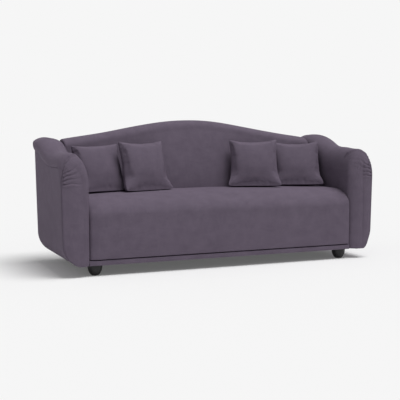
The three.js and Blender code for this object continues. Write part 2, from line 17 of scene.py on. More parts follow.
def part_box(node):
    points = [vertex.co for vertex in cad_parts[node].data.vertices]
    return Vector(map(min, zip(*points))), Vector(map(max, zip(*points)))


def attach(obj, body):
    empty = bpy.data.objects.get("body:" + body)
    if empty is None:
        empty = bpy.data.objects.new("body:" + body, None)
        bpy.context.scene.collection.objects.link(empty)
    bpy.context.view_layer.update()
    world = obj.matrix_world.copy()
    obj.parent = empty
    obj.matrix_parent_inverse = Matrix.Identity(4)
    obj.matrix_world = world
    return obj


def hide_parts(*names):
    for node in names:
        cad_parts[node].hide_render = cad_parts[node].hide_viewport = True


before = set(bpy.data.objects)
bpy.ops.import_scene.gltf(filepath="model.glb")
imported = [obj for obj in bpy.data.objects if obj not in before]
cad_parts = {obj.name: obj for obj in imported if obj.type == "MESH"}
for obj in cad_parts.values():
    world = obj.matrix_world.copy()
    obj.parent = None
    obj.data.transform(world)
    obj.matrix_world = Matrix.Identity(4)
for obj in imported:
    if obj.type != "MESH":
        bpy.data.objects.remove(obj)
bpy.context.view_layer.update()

LOG = logging.getLogger("sofa")
SOFA_BODY = "sofa"
QUARTER = math.pi / 2
WELD = 1e-5
SHARP = 0.9
CLOTH_SETTINGS = {
    "quality": 4, "mass": 0.25, "tension_stiffness": 18, "compression_stiffness": 6,
    "shear_stiffness": 4, "bending_stiffness": 0.25, "use_pressure": True,
}
Colour = tuple[float, float, float]
Pair = tuple[float, float]
Piece = bpy.types.Object
Finish = bpy.types.Material


class Side(Enum):
    """The two ends of the sofa, by the sign of X."""

    LEFT = -1
    RIGHT = 1

    @property
    def word(self) -> str:
        """The side's name as the frame's nodes spell it."""
        return self.name.lower()


class Slot(Enum):
    """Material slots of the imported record."""

    FABRIC = "upholstery_fabric"
    TIMBER = "frame_timber"
    STEEL = "spring_steel"
    LINING = "black_lining"
    WEBBING = "webbing"
    LACQUER = "foot_lacquer"


class Axis(Enum):
    """The way along which timber grain runs, as the turn that brings X to it."""

    X = (0.0, 0.0, 0.0)
    Y = (0.0, 0.0, QUARTER)
    Z = (0.0, QUARTER, 0.0)


def tone(*channels: int) -> Colour:
    """Turns a display colour into a linear one.

    Args:
        channels: Red, green and blue, each 0 to 255.

    Returns:
        The linear colour.
    """
    shares = [channel / 255 for channel in channels]
    return tuple(share / 12.92 if share <= 0.04045 else ((share + 0.055) / 1.055) ** 2.4
                 for share in shares)


def added(name: str, data: bpy.types.ID) -> Piece:
    """Puts a mesh, lamp or camera in the scene as an object of that name."""
    made = bpy.data.objects.new(name, data)
    bpy.context.scene.collection.objects.link(made)
    return made


def smoothstep(value: np.ndarray | float, low: float, high: float) -> np.ndarray:
    """Rises smoothly from 0 at low to 1 at high."""
    share = np.clip((np.asarray(value, float) - low) / (high - low), 0, 1)
    return share * share * (3 - 2 * share)


def ramp(value: float, low: float, high: float) -> float:
    """The smooth rise of one number."""
    return float(smoothstep(value, low, high))


def blend(first: float, second: float, share: np.ndarray | float) -> np.ndarray | float:
    """A value between two, by its share of the second."""
    return first + (second - first) * share


def arch(count: int, power: float = 1.0) -> np.ndarray:
    """A rise from 0 to 1 and back in a number of steps, fuller for a lower power."""
    return np.sin(np.linspace(0, math.pi, count)) ** power


def draw_in(distance: float, radius: float) -> float:
    """How far a rounded edge has drawn in at a distance from its end."""
    left = min(radius, max(0.0, radius - distance))
    return radius - math.sqrt(radius * radius - left * left)


def quarter(centre: Sequence[float], start: Sequence[float], end: Sequence[float],
            low: float = 0.0, high: float = 1.0, count: int = 24) -> np.ndarray:
    """Points of a quarter ellipse, or of a stretch of it.

    Args:
        centre: The ellipse's centre.
        start: Where the quarter starts.
        end: Where the quarter ends.
        low: Share of the quarter's turn at the first point.
        high: Share of the quarter's turn at the last point.
        count: How many points.

    Returns:
        An array of count points.
    """
    turns = QUARTER * np.linspace(low, high, count)
    middle, first, last = (np.asarray(point, float) for point in (centre, start, end))
    return middle + np.outer(np.cos(turns), first - middle) + np.outer(np.sin(turns), last - middle)


def resampled(line: np.ndarray, shares: np.ndarray) -> np.ndarray:
    """Points at shares of a line's length.

    Args:
        line: The line's points, one a row.
        shares: Shares from 0 to 1.

    Returns:
        One point for each share.
    """
    steps = np.linalg.norm(np.diff(line, axis=0), axis=1)
    reach = np.concatenate(([0.0], np.cumsum(steps)))
    wanted = np.asarray(shares) * reach[-1]
    return np.column_stack([np.interp(wanted, reach, line[:, k]) for k in range(line.shape[1])])


def eased(line: np.ndarray, window: float, step: float = 0.002) -> np.ndarray:
    """Rounds a line's corners with a moving mean and keeps its two ends.

    Args:
        line: The line's points.
        window: Length of the mean.
        step: Spacing of the new points.

    Returns:
        The rounded line.
    """
    length = np.linalg.norm(np.diff(line, axis=0), axis=1).sum()
    dense = resampled(line, np.linspace(0, 1, round(length / step) + 1))
    half = round(window / step / 2)
    before = 2 * dense[0] - dense[half:0:-1]
    after = 2 * dense[-1] - dense[-2:-half - 2:-1]
    padded = np.vstack([before, dense, after])
    kernel = np.hanning(2 * half + 3)[1:-1]
    kernel /= kernel.sum()
    columns = [np.convolve(column, kernel, "valid") for column in padded.T]
    return np.column_stack(columns)


def joined(stretches: Sequence[tuple[Sequence, int]]) -> np.ndarray:
    """Joins stretches of an outline, each given an even spacing.

    Args:
        stretches: Pairs of a stretch's points and its number of steps.

    Returns:
        The outline, without the last point of each stretch.
    """
    pairs = [(np.asarray(line, float), np.linspace(0, 1, steps + 1)) for line, steps in stretches]
    return np.concatenate([resampled(line, shares)[:-1] for line, shares in pairs])


def closed_row(ring: np.ndarray, x: float) -> np.ndarray:
    """A closed section in Y and Z, at a place across the sofa."""
    loop = np.vstack([ring, ring[:1]])
    return np.column_stack([np.full(len(loop), x), loop])


def edge_stations(radius: float, count: int = 7) -> np.ndarray:
    """Distances from an end that follow a rounded edge evenly."""
    return radius * (1 - np.cos(np.linspace(0, QUARTER, count)))


def patch(left: np.ndarray, right: np.ndarray, low: np.ndarray, high: np.ndarray) -> np.ndarray:
    """Fills a four-sided outline with an even net of points.

    Args:
        left: Points up the left side.
        right: Points up the right side, as many.
        low: Points along the bottom, from left to right.
        high: Points along the top, as many.

    Returns:
        Rows of points from the bottom to the top.
    """
    along = np.linspace(0, 1, len(low))[None, :, None]
    steps = np.linalg.norm(np.diff(left, axis=0), axis=1)
    up = (np.concatenate(([0.0], np.cumsum(steps))) / steps.sum())[:, None, None]
    sides = (1 - along) * left[:, None] + along * right[:, None]
    ends = (1 - up) * low[None] + up * high[None]
    corners = ((1 - along) * (1 - up) * low[0] + along * (1 - up) * low[-1]
               + (1 - along) * up * high[0] + along * up * high[-1])
    return sides + ends - corners


class Mesh:
    """A mesh in the making: grids laid on rows of points, joined, and turned into a piece."""

    def __init__(self) -> None:
        """Starts an empty mesh with a weave map."""
        self.data = bmesh.new()
        self.weave = self.data.loops.layers.uv.new("weave")

    def drape(self, rows: np.ndarray, origin: Pair = (0.0, 0.0)) -> None:
        """Lays a grid on rows of points and maps its weave in metres.

        Args:
            rows: Array of rows, points and coordinates.
            origin: Where the weave starts.
        """
        stations, points = rows.shape[:2]
        grid = bmesh.ops.create_grid(
            self.data, x_segments=points - 1, y_segments=stations - 1, size=1.0)
        across = np.linalg.norm(np.diff(rows, axis=1), axis=2).cumsum(axis=1)
        across = np.pad(across, ((0, 0), (1, 0)))
        across -= across[:, points // 2][:, None]
        along = np.linalg.norm(np.diff(rows, axis=0), axis=2).cumsum(axis=0)
        along = np.pad(along, ((1, 0), (0, 0)))
        for vert in grid["verts"]:
            column = round((vert.co.x + 1) / 2 * (points - 1))
            row = round((vert.co.y + 1) / 2 * (stations - 1))
            vert.co = rows[row, column]
            place = (origin[0] + across[row, column], origin[1] + along[row, column])
            for loop in vert.link_loops:
                loop[self.weave].uv = place

    def weld(self) -> None:
        """Joins what touches, closes what is left open and turns the faces outwards."""
        bmesh.ops.remove_doubles(self.data, verts=self.data.verts, dist=WELD)
        open_edges = [edge for edge in self.data.edges if edge.is_boundary]
        if open_edges:
            bmesh.ops.holes_fill(self.data, edges=open_edges, sides=0)
        bmesh.ops.recalc_face_normals(self.data, faces=self.data.faces)
        self.data.normal_update()

    def shift(self, amount: Callable[[Vector], float]) -> None:
        """Moves each point along its normal.

        Args:
            amount: Gives the distance for a place.
        """
        self.data.normal_update()
        moves = [(vert, vert.normal * amount(vert.co)) for vert in self.data.verts]
        for vert, move in moves:
            vert.co += move

    def block(self, size: Sequence[float], centre: Sequence[float], turn: float = 0.0) -> None:
        """Adds a box.

        Args:
            size: Its three sides.
            centre: Its middle.
            turn: Its turn about Z.
        """
        verts = bmesh.ops.create_cube(self.data, size=1.0, calc_uvs=False)["verts"]
        bmesh.ops.scale(self.data, vec=size, verts=verts)
        if turn:
            bmesh.ops.rotate(self.data, matrix=Matrix.Rotation(turn, 3, "Z"), verts=verts)
        bmesh.ops.translate(self.data, vec=centre, verts=verts)

    def cut(self, place: Sequence[float], normal: Sequence[float]) -> None:
        """Cuts every face along a plane and keeps both halves."""
        geometry = [*self.data.verts, *self.data.edges, *self.data.faces]
        bmesh.ops.bisect_plane(self.data, geom=geometry, plane_co=place, plane_no=normal)

    def look(self, way: Sequence[float]) -> None:
        """Turns each face of an open sheet to look a way."""
        for face in self.data.faces:
            if face.normal.dot(Vector(way)) < 0:
                face.normal_flip()

    def mirror(self, side: Side) -> None:
        """Brings a shape that was made for the right end to its side."""
        if side is Side.LEFT:
            bmesh.ops.scale(self.data, vec=(-1, 1, 1), verts=self.data.verts)

    def thicken(self, thickness: float, rounding: float) -> None:
        """Gives an open sheet a thickness to its inside and rounds its rim.

        Args:
            thickness: The sheet's thickness.
            rounding: Radius of the rim.
        """
        bmesh.ops.remove_doubles(self.data, verts=self.data.verts, dist=WELD)
        bmesh.ops.solidify(self.data, geom=list(self.data.faces), thickness=thickness)
        bmesh.ops.recalc_face_normals(self.data, faces=self.data.faces)
        self.round_off(rounding)

    def round_off(self, radius: float, segments: int = 3) -> None:
        """Bevels every edge that turns by more than about 50 degrees."""
        sharp = [edge for edge in self.data.edges
                 if edge.is_manifold and edge.calc_face_angle(0.0) > SHARP]
        bmesh.ops.bevel(
            self.data, geom=sharp, offset=radius, segments=segments, profile=0.5,
            affect="EDGES", material=-1, clamp_overlap=True)

    def mark_wear_and_shade(self) -> None:
        """Stores how far each point stands out from its neighbours, for rubbed wear where it stands
        out and painted shade where it sinks in.
        """
        layer = self.data.verts.layers.float.new("wear_and_shade")
        self.data.normal_update()
        for vert in self.data.verts:
            leans = [vert.normal.dot((vert.co - edge.other_vert(vert).co).normalized())
                     for edge in vert.link_edges]
            vert[layer] = sum(leans) / max(len(leans), 1)

    def piece(self, name: str, material: Finish, slot: Slot,
              replaces: Sequence[str] = (), body: str = SOFA_BODY) -> Piece:
        """Turns the mesh into a finished piece that rides on a body.

        Args:
            name: The piece's name.
            material: Its finish.
            slot: Not used.
            replaces: The frame's nodes that it stands for.
            body: The body that carries it.

        Returns:
            The new object.
        """
        self.mark_wear_and_shade()
        for face in self.data.faces:
            face.smooth = True
        made = bpy.data.meshes.new(name)
        self.data.to_mesh(made)
        self.data.free()
        made.materials.append(material)
        piece = added(name, made)
        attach(piece, body)
        if replaces:
            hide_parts(*replaces)
        LOG.info("%s: %d faces", name, len(made.polygons))
        return piece


class Socket:
    """A shader value whose operators add Math nodes."""

    def __init__(self, shader: "Shader", link: bpy.types.NodeSocket) -> None:
        """Wraps an output socket of a shader."""
        self.shader = shader
        self.link = link

    def maths(self, operation: str, *others: "Socket | float") -> "Socket":
        """Adds a Math node that starts with this value."""
        return self.shader.maths(operation, self, *others)

    def __add__(self, other: "Socket | float") -> "Socket":
        """Sum."""
        return self.maths("ADD", other)

    def __sub__(self, other: "Socket | float") -> "Socket":
        """Difference."""
        return self.maths("SUBTRACT", other)

    def __rsub__(self, other: float) -> "Socket":
        """Difference with a number first."""
        return self.shader.maths("SUBTRACT", other, self)

    def __mul__(self, other: "Socket | float") -> "Socket":
        """Product."""
        return self.maths("MULTIPLY", other)

    def __abs__(self) -> "Socket":
        """Size without its sign."""
        return self.maths("ABSOLUTE")

    __radd__, __rmul__ = __add__, __mul__

    def between(self, low: float, high: float) -> "Socket":
        """Maps low to 0 and high to 1, smoothly and clamped."""
        return self.shader.node(
            "ShaderNodeMapRange", {"interpolation_type": "SMOOTHSTEP"},
            {"Value": self, "From Min": low, "From Max": high})


class Shader:
    """A material's nodes."""

    def __init__(self, name: str) -> None:
        """Starts a material with only its output.

        Args:
            name: The material's name.
        """
        self.material = bpy.data.materials.new(name)
        self.material.use_nodes = True
        self.tree = self.material.node_tree
        self.tree.nodes.clear()
        self.output = self.tree.nodes.new("ShaderNodeOutputMaterial")

    def node(self, kind: str, settings: dict[str, object], values: dict[str | int, object],
             output: str | int = 0) -> Socket:
        """Adds a node.

        Args:
            kind: The node's type.
            settings: Its own settings, set first.
            values: A value or link for each named or numbered input.
            output: The output to return.

        Returns:
            That output.
        """
        made = self.tree.nodes.new(kind)
        for key, value in settings.items():
            setattr(made, key, value)
        for key, value in values.items():
            if isinstance(value, Socket):
                self.tree.links.new(value.link, made.inputs[key])
            else:
                made.inputs[key].default_value = value
        return Socket(self, made.outputs[output])

    def maths(self, operation: str, *values: "Socket | float") -> Socket:
        """Adds a Math node on two values, at least one of them a socket."""
        return self.node("ShaderNodeMath", {"operation": operation}, dict(enumerate(values)))

    def mix(self, share: "Socket | float", first: "Socket | Colour",
            second: "Socket | Colour") -> Socket:
        """Blends two colours.

        Args:
            share: How much of the second colour.
            first: The first colour.
            second: The second colour.

        Returns:
            The blend.
        """
        colours = [c if isinstance(c, Socket) else (*c, 1.0) for c in (first, second)]
        return self.node(
            "ShaderNodeMix", {"data_type": "RGBA"}, {0: share, 6: colours[0], 7: colours[1]}, 2)

    def place(self) -> Socket:
        """The place on the object, in metres."""
        return self.node("ShaderNodeTexCoord", {}, {}, "Object")

    def weave(self) -> Socket:
        """The place along the cloth's threads, in metres."""
        return self.node("ShaderNodeUVMap", {"uv_map": "weave"}, {})

    def split(self, vector: Socket, axes: str) -> list[Socket]:
        """The named coordinates of a vector."""
        return [self.node("ShaderNodeSeparateXYZ", {}, {"Vector": vector}, axis) for axis in axes]

    def mapped(self, vector: Socket, scale: Sequence[float],
               turn: Sequence[float] = (0, 0, 0)) -> Socket:
        """Scales and turns a place."""
        return self.node(
            "ShaderNodeMapping", {}, {"Vector": vector, "Scale": scale, "Rotation": turn})

    def noise(self, vector: Socket, scale: float, detail: float = 3.0,
              rough: float = 0.55) -> Socket:
        """A cloudy pattern about 0.5."""
        return self.node(
            "ShaderNodeTexNoise", {},
            {"Vector": vector, "Scale": scale, "Detail": detail, "Roughness": rough})

    def bump(self, height: Socket, distance: float, strength: float = 1.0) -> Socket:
        """Turns a height into a normal."""
        return self.node(
            "ShaderNodeBump", {}, {"Strength": strength, "Distance": distance, "Height": height})

    def finished(self, values: dict[str, object]) -> Finish:
        """Closes the material with a Principled surface.

        Args:
            values: Values or links of the surface's sockets.

        Returns:
            The material.
        """
        surface = self.node("ShaderNodeBsdfPrincipled", {}, values)
        self.tree.links.new(surface.link, self.output.inputs["Surface"])
        return self.material


@dataclass(frozen=True)
class Cloth:
    """Plain-woven upholstery cloth with a soft sheen."""

    name: str = "plum_cloth"
    low: Colour = tone(103, 93, 108)
    high: Colour = tone(118, 107, 123)
    rubbed: Colour = tone(128, 116, 131)
    # Darker colour painted as shade into creases and into the hollows between the threads.
    painted_shade: Colour = tone(60, 51, 62)
    thread: float = 0.0017
    relief: float = 0.00035

    def material(self) -> Finish:
        """Builds the weave, its slubs, mottle and rubbed edges, with painted shade in the creases
        and between the threads.
        """
        shader = Shader(self.name)
        weave = shader.weave()
        parts = shader.split(weave, "XY")
        warp, weft = (part * (1 / self.thread) for part in parts)
        over = self.strand(warp, weft, 0.0)
        under = self.strand(weft, warp, 1.0)
        height = over.maths("MAXIMUM", under)
        slubs = [shader.noise(shader.mapped(weave, scale), 1.0, 2.0)
                 for scale in ((520.0, 14.0, 1.0), (14.0, 520.0, 1.0))]
        streaks = (slubs[0] + slubs[1]) * 0.5
        place = shader.place()
        mottle = shader.noise(place, 16.0, 4.0, 0.6)
        broad = shader.noise(place, 3.2, 2.0)
        blend = streaks * 0.55 + mottle * 0.3 + broad * 0.15
        cloth = shader.mix(blend.between(0.36, 0.64), self.low, self.high)
        # The hollows between the threads are painted towards the darker colour, as shade.
        threads = shader.mix(height.between(0.15, 0.75) * 0.5 + 0.5, self.painted_shade, cloth)
        # One attribute drives rubbed wear on what stands out and painted shade in what sinks in.
        wear_and_shade = shader.node("ShaderNodeAttribute", {"attribute_name": "wear_and_shade"}, {}, "Fac")
        rubbed = shader.mix(wear_and_shade.between(0.05, 0.5) * mottle * 0.5, threads, self.rubbed)
        # Painted shade: places that sink in, such as creases, are mixed towards the darker colour.
        colour = shader.mix(wear_and_shade.between(-0.03, -0.35) * 0.5, rubbed, self.painted_shade)
        fuzz = shader.noise(place, 900.0, 2.0)
        return shader.finished({
            "Base Color": colour,
            "Roughness": blend * 0.2 + 0.78,
            "Specular IOR Level": 0.14,
            "Sheen Weight": 0.03,
            "Sheen Roughness": 0.5,
            "Sheen Tint": (*tone(205, 180, 210), 1.0),
            "Normal": shader.bump(height + fuzz * 0.35 + streaks * 0.4, self.relief, 0.8),
        })

    def strand(self, across: Socket, along: Socket, phase: float) -> Socket:
        """One set of parallel threads that rise and dip as they cross the other set.

        Args:
            across: Thread count across the threads.
            along: Thread count along them.
            phase: 0 or 1, so that one set is up where the other is down.

        Returns:
            The threads' height.
        """
        body = abs((across * math.pi).maths("SINE"))
        wave = ((along + across.maths("FLOOR") + phase) * math.pi).maths("COSINE")
        return body * (wave * 0.35 + 0.65)


@dataclass(frozen=True)
class Timber:
    """Sawn softwood of the frame, with the grain along one axis."""

    axis: Axis
    light: Colour = tone(208, 172, 122)
    dark: Colour = tone(161, 118, 72)
    ring: float = 0.006

    def material(self) -> Finish:
        """Builds rings, fibres and saw marks."""
        shader = Shader(f"timber_{self.axis.name.lower()}")
        turned = shader.mapped(shader.place(), (1.0, 1.0, 1.0), self.axis.value)
        long = shader.mapped(turned, (0.6, 9.0, 9.0))
        drift = shader.noise(long, 1.4, 3.0)
        parts = shader.split(turned, "YZ")
        reach = (parts[0] * parts[0] + parts[1] * parts[1]).maths("SQRT") + drift * 0.05
        rings = ((reach * (2 * math.pi / self.ring)).maths("SINE") * 0.5 + 0.5).maths("POWER", 2.0)
        fibres = shader.noise(shader.mapped(turned, (12.0, 900.0, 900.0)), 1.0, 2.0)
        blend = rings * 0.55 + fibres * 0.45
        saw = shader.noise(shader.mapped(turned, (420.0, 4.0, 4.0)), 1.0, 1.0)
        return shader.finished({
            "Base Color": shader.mix(blend, self.light, self.dark),
            "Roughness": fibres * 0.2 + 0.55,
            "Normal": shader.bump(fibres * 0.6 + saw * 0.4, 0.0003),
        })


@dataclass(frozen=True)
class Steel:
    """Bright drawn wire and plated bolts."""

    name: str = "bright_steel"
    bright: Colour = (0.58, 0.58, 0.6)
    dull: Colour = (0.36, 0.35, 0.34)

    def material(self) -> Finish:
        """Builds drawing marks and a little dullness."""
        shader = Shader(self.name)
        place = shader.place()
        marks = shader.noise(shader.mapped(place, (900.0, 60.0, 900.0)), 1.0, 2.0)
        patches = shader.noise(place, 35.0)
        return shader.finished({
            "Base Color": shader.mix(patches.between(0.4, 0.75), self.bright, self.dull),
            "Metallic": 1.0,
            "Roughness": marks * 0.25 + 0.22,
            "Normal": shader.bump(marks, 0.0001),
        })


@dataclass(frozen=True)
class Lining:
    """Black spun-bonded lining cloth."""

    name: str = "black_lining"
    dark: Colour = tone(24, 23, 25)
    pale: Colour = tone(46, 44, 47)
    dimple: float = 0.002

    def material(self) -> Finish:
        """Builds tangled fibres and rows of pressed dimples."""
        shader = Shader(self.name)
        place = shader.place()
        fibres = shader.noise(shader.mapped(place, (700.0, 180.0, 400.0)), 1.0, 4.0, 0.7)
        parts = shader.split(place, "XY")
        waves = [(part * (math.pi / self.dimple)).maths("SINE") for part in parts]
        dimples = abs(waves[0] * waves[1]).between(0.5, 0.95)
        return shader.finished({
            "Base Color": shader.mix(fibres.between(0.35, 0.7), self.dark, self.pale),
            "Roughness": fibres * 0.15 + 0.8,
            "Normal": shader.bump(fibres - dimples * 0.5, 0.0003),
        })


@dataclass(frozen=True)
class Webbing:
    """Elastic upholstery webbing, ribbed along its length."""

    name: str = "elastic_webbing"
    light: Colour = tone(170, 160, 142)
    dark: Colour = tone(112, 102, 88)
    rib: float = 0.0025

    def material(self) -> Finish:
        """Builds ribs and a coarse weave."""
        shader = Shader(self.name)
        weave = shader.weave()
        parts = shader.split(weave, "XY")
        ribs = abs((parts[1] * (math.pi / self.rib)).maths("SINE"))
        picks = abs((parts[0] * (math.pi / self.rib / 2)).maths("SINE"))
        height = ribs * (picks * 0.4 + 0.6)
        return shader.finished({
            "Base Color": shader.mix(height, self.dark, self.light),
            "Roughness": 0.95 - height * 0.15,
            "Normal": shader.bump(height, 0.0006),
        })


@dataclass(frozen=True)
class Lacquer:
    """Black satin lacquer on the turned feet."""

    name: str = "black_lacquer"
    black: Colour = tone(20, 19, 21)
    scuffed: Colour = tone(74, 70, 70)

    def material(self) -> Finish:
        """Builds brush marks, dust and scuffs that gather near the floor."""
        shader = Shader(self.name)
        place = shader.place()
        grain = shader.noise(shader.mapped(place, (60.0, 60.0, 900.0)), 1.0, 2.0)
        dust = shader.noise(place, 140.0, 4.0, 0.7)
        height = shader.split(place, "Z")[0]
        low = 1 - height.between(0.0, 0.02)
        scuffs = dust.between(0.52, 0.72) * (low * 0.5 + 0.08)
        return shader.finished({
            "Base Color": shader.mix(scuffs, self.black, self.scuffed),
            "Roughness": grain * 0.12 + scuffs * 0.4 + 0.34,
            "Specular IOR Level": 0.3,
            "Coat Weight": 0.12 - scuffs * 0.12,
            "Coat Roughness": 0.25,
            "Normal": shader.bump(grain + dust * 0.5, 0.00015),
        })


@dataclass(frozen=True)
class Plan:
    """Driving sizes that more than one sub-assembly follows."""

    front: float = -0.3675
    back: float = 0.3675
    inner: float = 0.877
    outer: float = 1.043
    foot_height: float = 0.063
    gap: float = 0.0003
    seat_front: float = -0.3575
    seat_rear: float = 0.0925
    seat_height: float = 0.455
    seat_crown: float = 0.010
    band_height: float = 0.031
    pad_bottom: float = 0.3232
    crest_peak: float = 0.904
    crest_end: float = 0.784
    crest_shares: tuple[float, float, float] = (2.06, -1.72, 0.66)
    crest_inset: float = 0.080
    face_reach: float = 0.071
    shoulder_drop: float = 0.055
    panel_drop: float = 0.065
    arm_clearance: Pair = (0.01, 0.08)

    def clear_of_arms(self, x: float) -> float:
        """0 against the arms and 1 away from them."""
        return ramp(self.inner - abs(x), *self.arm_clearance)

    def seat_top(self, x: float) -> float:
        """Height of the seat's crown."""
        return self.seat_height + self.seat_crown * (1 - (x / self.inner) ** 2)

    def crest(self, x: float) -> float:
        """Height of the camel curve."""
        u = min(1.0, (x / self.inner) ** 2)
        first, second, third = self.crest_shares
        fall = first * u + second * u ** 2 + third * u ** 3
        return self.crest_peak - (self.crest_peak - self.crest_end) * fall

    @property
    def crest_place(self) -> float:
        """Depth of the camel curve."""
        return self.back - self.crest_inset

    @property
    def back_front(self) -> float:
        """Depth of the back's face where it meets the seat."""
        return self.seat_rear + self.gap

    @property
    def rake(self) -> float:
        """How far the back's face falls back for each metre of height."""
        run = self.crest_place - self.face_reach - self.back_front
        return run / (self.crest_peak - self.shoulder_drop - self.seat_height)

    def back_face(self, z: float) -> float:
        """Depth of the back's face at a height."""
        return self.back_front + max(0.0, z - self.seat_height) * self.rake


PLAN = Plan()


def unevenness(place: Vector, reach: float, depth: float) -> float:
    """Soft unevenness of stuffed cloth.

    Args:
        place: Where it is.
        reach: Size of the swells.
        depth: Their greatest height.

    Returns:
        The height there.
    """
    return depth * noise.noise(place / reach)


@dataclass
class Seat:
    """The tight seat: crowned top, waterfall front and a tucked lower edge over the band."""

    cloth: Finish
    fall_depth: float = 0.190
    fall_height: float = 0.100
    bulge: float = 0.007
    end_radii: dict[int, float] = field(default_factory=lambda: {-1: 0.020, 1: 0.008})
    end_falls: dict[int, float] = field(default_factory=lambda: {-1: 0.005, 1: 0.002})
    end_reach: float = 0.060
    end_step: float = 0.004
    corner_drop: float = 0.026
    corner_reach: float = 0.075
    tuck: float = 0.007
    tuck_depth: float = 0.012
    slot: float = 0.0026
    rear_radius: float = 0.02
    front_depth: float = 0.0247
    turn_in: Pair = (0.0065, 0.0045)
    turn_in_low: float = 0.005
    low_fade: float = 0.2
    step: float = 0.014
    swell_reach: float = 0.16
    swell_depth: float = 0.0012

    def outline(self, x: float, inset: float) -> np.ndarray:
        """The seat's section at a place across the sofa.

        Args:
            x: Place across the sofa.
            inset: How far the outer faces have drawn in.

        Returns:
            A closed outline in Y and Z.
        """
        top = PLAN.seat_top(x) - inset
        low = PLAN.foot_height + PLAN.band_height + self.slot
        near_end = 1 - ramp(PLAN.inner - abs(x), 0, self.corner_reach)
        spring = PLAN.seat_height - self.fall_height - self.corner_drop * near_end ** 2 * (x < 0)
        bulge = self.bulge * (1 - (x / PLAN.inner) ** 4)
        face = PLAN.seat_front + inset
        hollow = PLAN.seat_front + self.front_depth
        heights = np.linspace(low + self.tuck, spring, 12)
        rise = np.clip((heights - low) / (spring - low) * 1.6, 0, 1)
        front = np.column_stack([face - bulge * np.sin(QUARTER * rise), heights])
        tuck = quarter((front[0, 0] + self.tuck_depth, low + self.tuck),
                       (front[0, 0] + self.tuck_depth, low), front[0])
        fall, bottom = PLAN.seat_front + self.fall_depth, PLAN.pad_bottom
        rear = PLAN.seat_rear - inset
        turn, shoulder = rear - self.rear_radius, top - self.rear_radius
        return joined([
            (tuck, 8),
            (front, 26),
            (quarter((fall, spring), front[-1], (fall, top), count=60), 48),
            ([[fall, top], [turn, top]], 30),
            (quarter((turn, shoulder), (turn, top), (rear, shoulder)), 8),
            ([[rear, shoulder], [rear, bottom]], 8),
            ([[rear, bottom], [hollow, bottom]], 12),
            ([[hollow, bottom], [hollow, low]], 8),
            ([[hollow, low], tuck[0]], 2),
        ])

    def build(self) -> Piece:
        """Makes the seat and dresses it."""
        end = PLAN.inner - PLAN.gap
        places = []
        for sign, radius in self.end_radii.items():
            ends = edge_stations(radius)
            near = np.arange(ends[-1] + self.end_step, self.end_reach + 0.01, self.end_step)
            middle = np.arange(near[-1] + self.step, end, self.step)
            places += [sign * (end - distance) for distance in (*ends, *near, *middle, end)]
        rows = []
        for x in sorted({round(float(place), 6) for place in places}):
            sign = 1 if x > 0 else -1
            fall = self.end_falls[sign] * (ramp(abs(x) - end, 0, -self.end_reach) - 1) ** 2
            ring = self.outline(x, draw_in(end - abs(x), self.end_radii[sign]) + fall)
            rows.append(closed_row(ring, x))
        mesh = Mesh()
        mesh.drape(np.array(rows))
        mesh.drape(self.turned_edge())
        mesh.weld()
        mesh.shift(self.relief)
        piece = mesh.piece("seat", self.cloth, Slot.FABRIC, ("seat_cover", "seat_foam"))
        return piece

    def turned_edge(self) -> np.ndarray:
        """The cover's edge, turned in beside the right arm and its deeper corner.

        Returns:
            Rows of points, each a closed loop.
        """
        reach, thickness = self.turn_in
        turns = np.linspace(0, math.tau, 25)
        waves = (np.cos(turns), np.sin(turns))
        across, deep = (np.sign(wave) * np.sqrt(np.abs(wave)) for wave in waves)
        x = PLAN.inner + reach * across
        y = PLAN.seat_front + self.front_depth - PLAN.gap - thickness / 2 * (1 - deep)
        heights = np.linspace(PLAN.foot_height + self.turn_in_low, PLAN.pad_bottom, 12)
        return np.array([np.column_stack([x, y, np.full(len(x), z)]) for z in heights])

    def relief(self, place: Vector) -> float:
        """Soft swells on what shows, none against the arms."""
        shown = ramp(place.z, PLAN.pad_bottom - self.low_fade, PLAN.pad_bottom)
        away = PLAN.clear_of_arms(place.x)
        return unevenness(place, self.swell_reach, self.swell_depth) * away * (0.5 + 0.5 * shown)


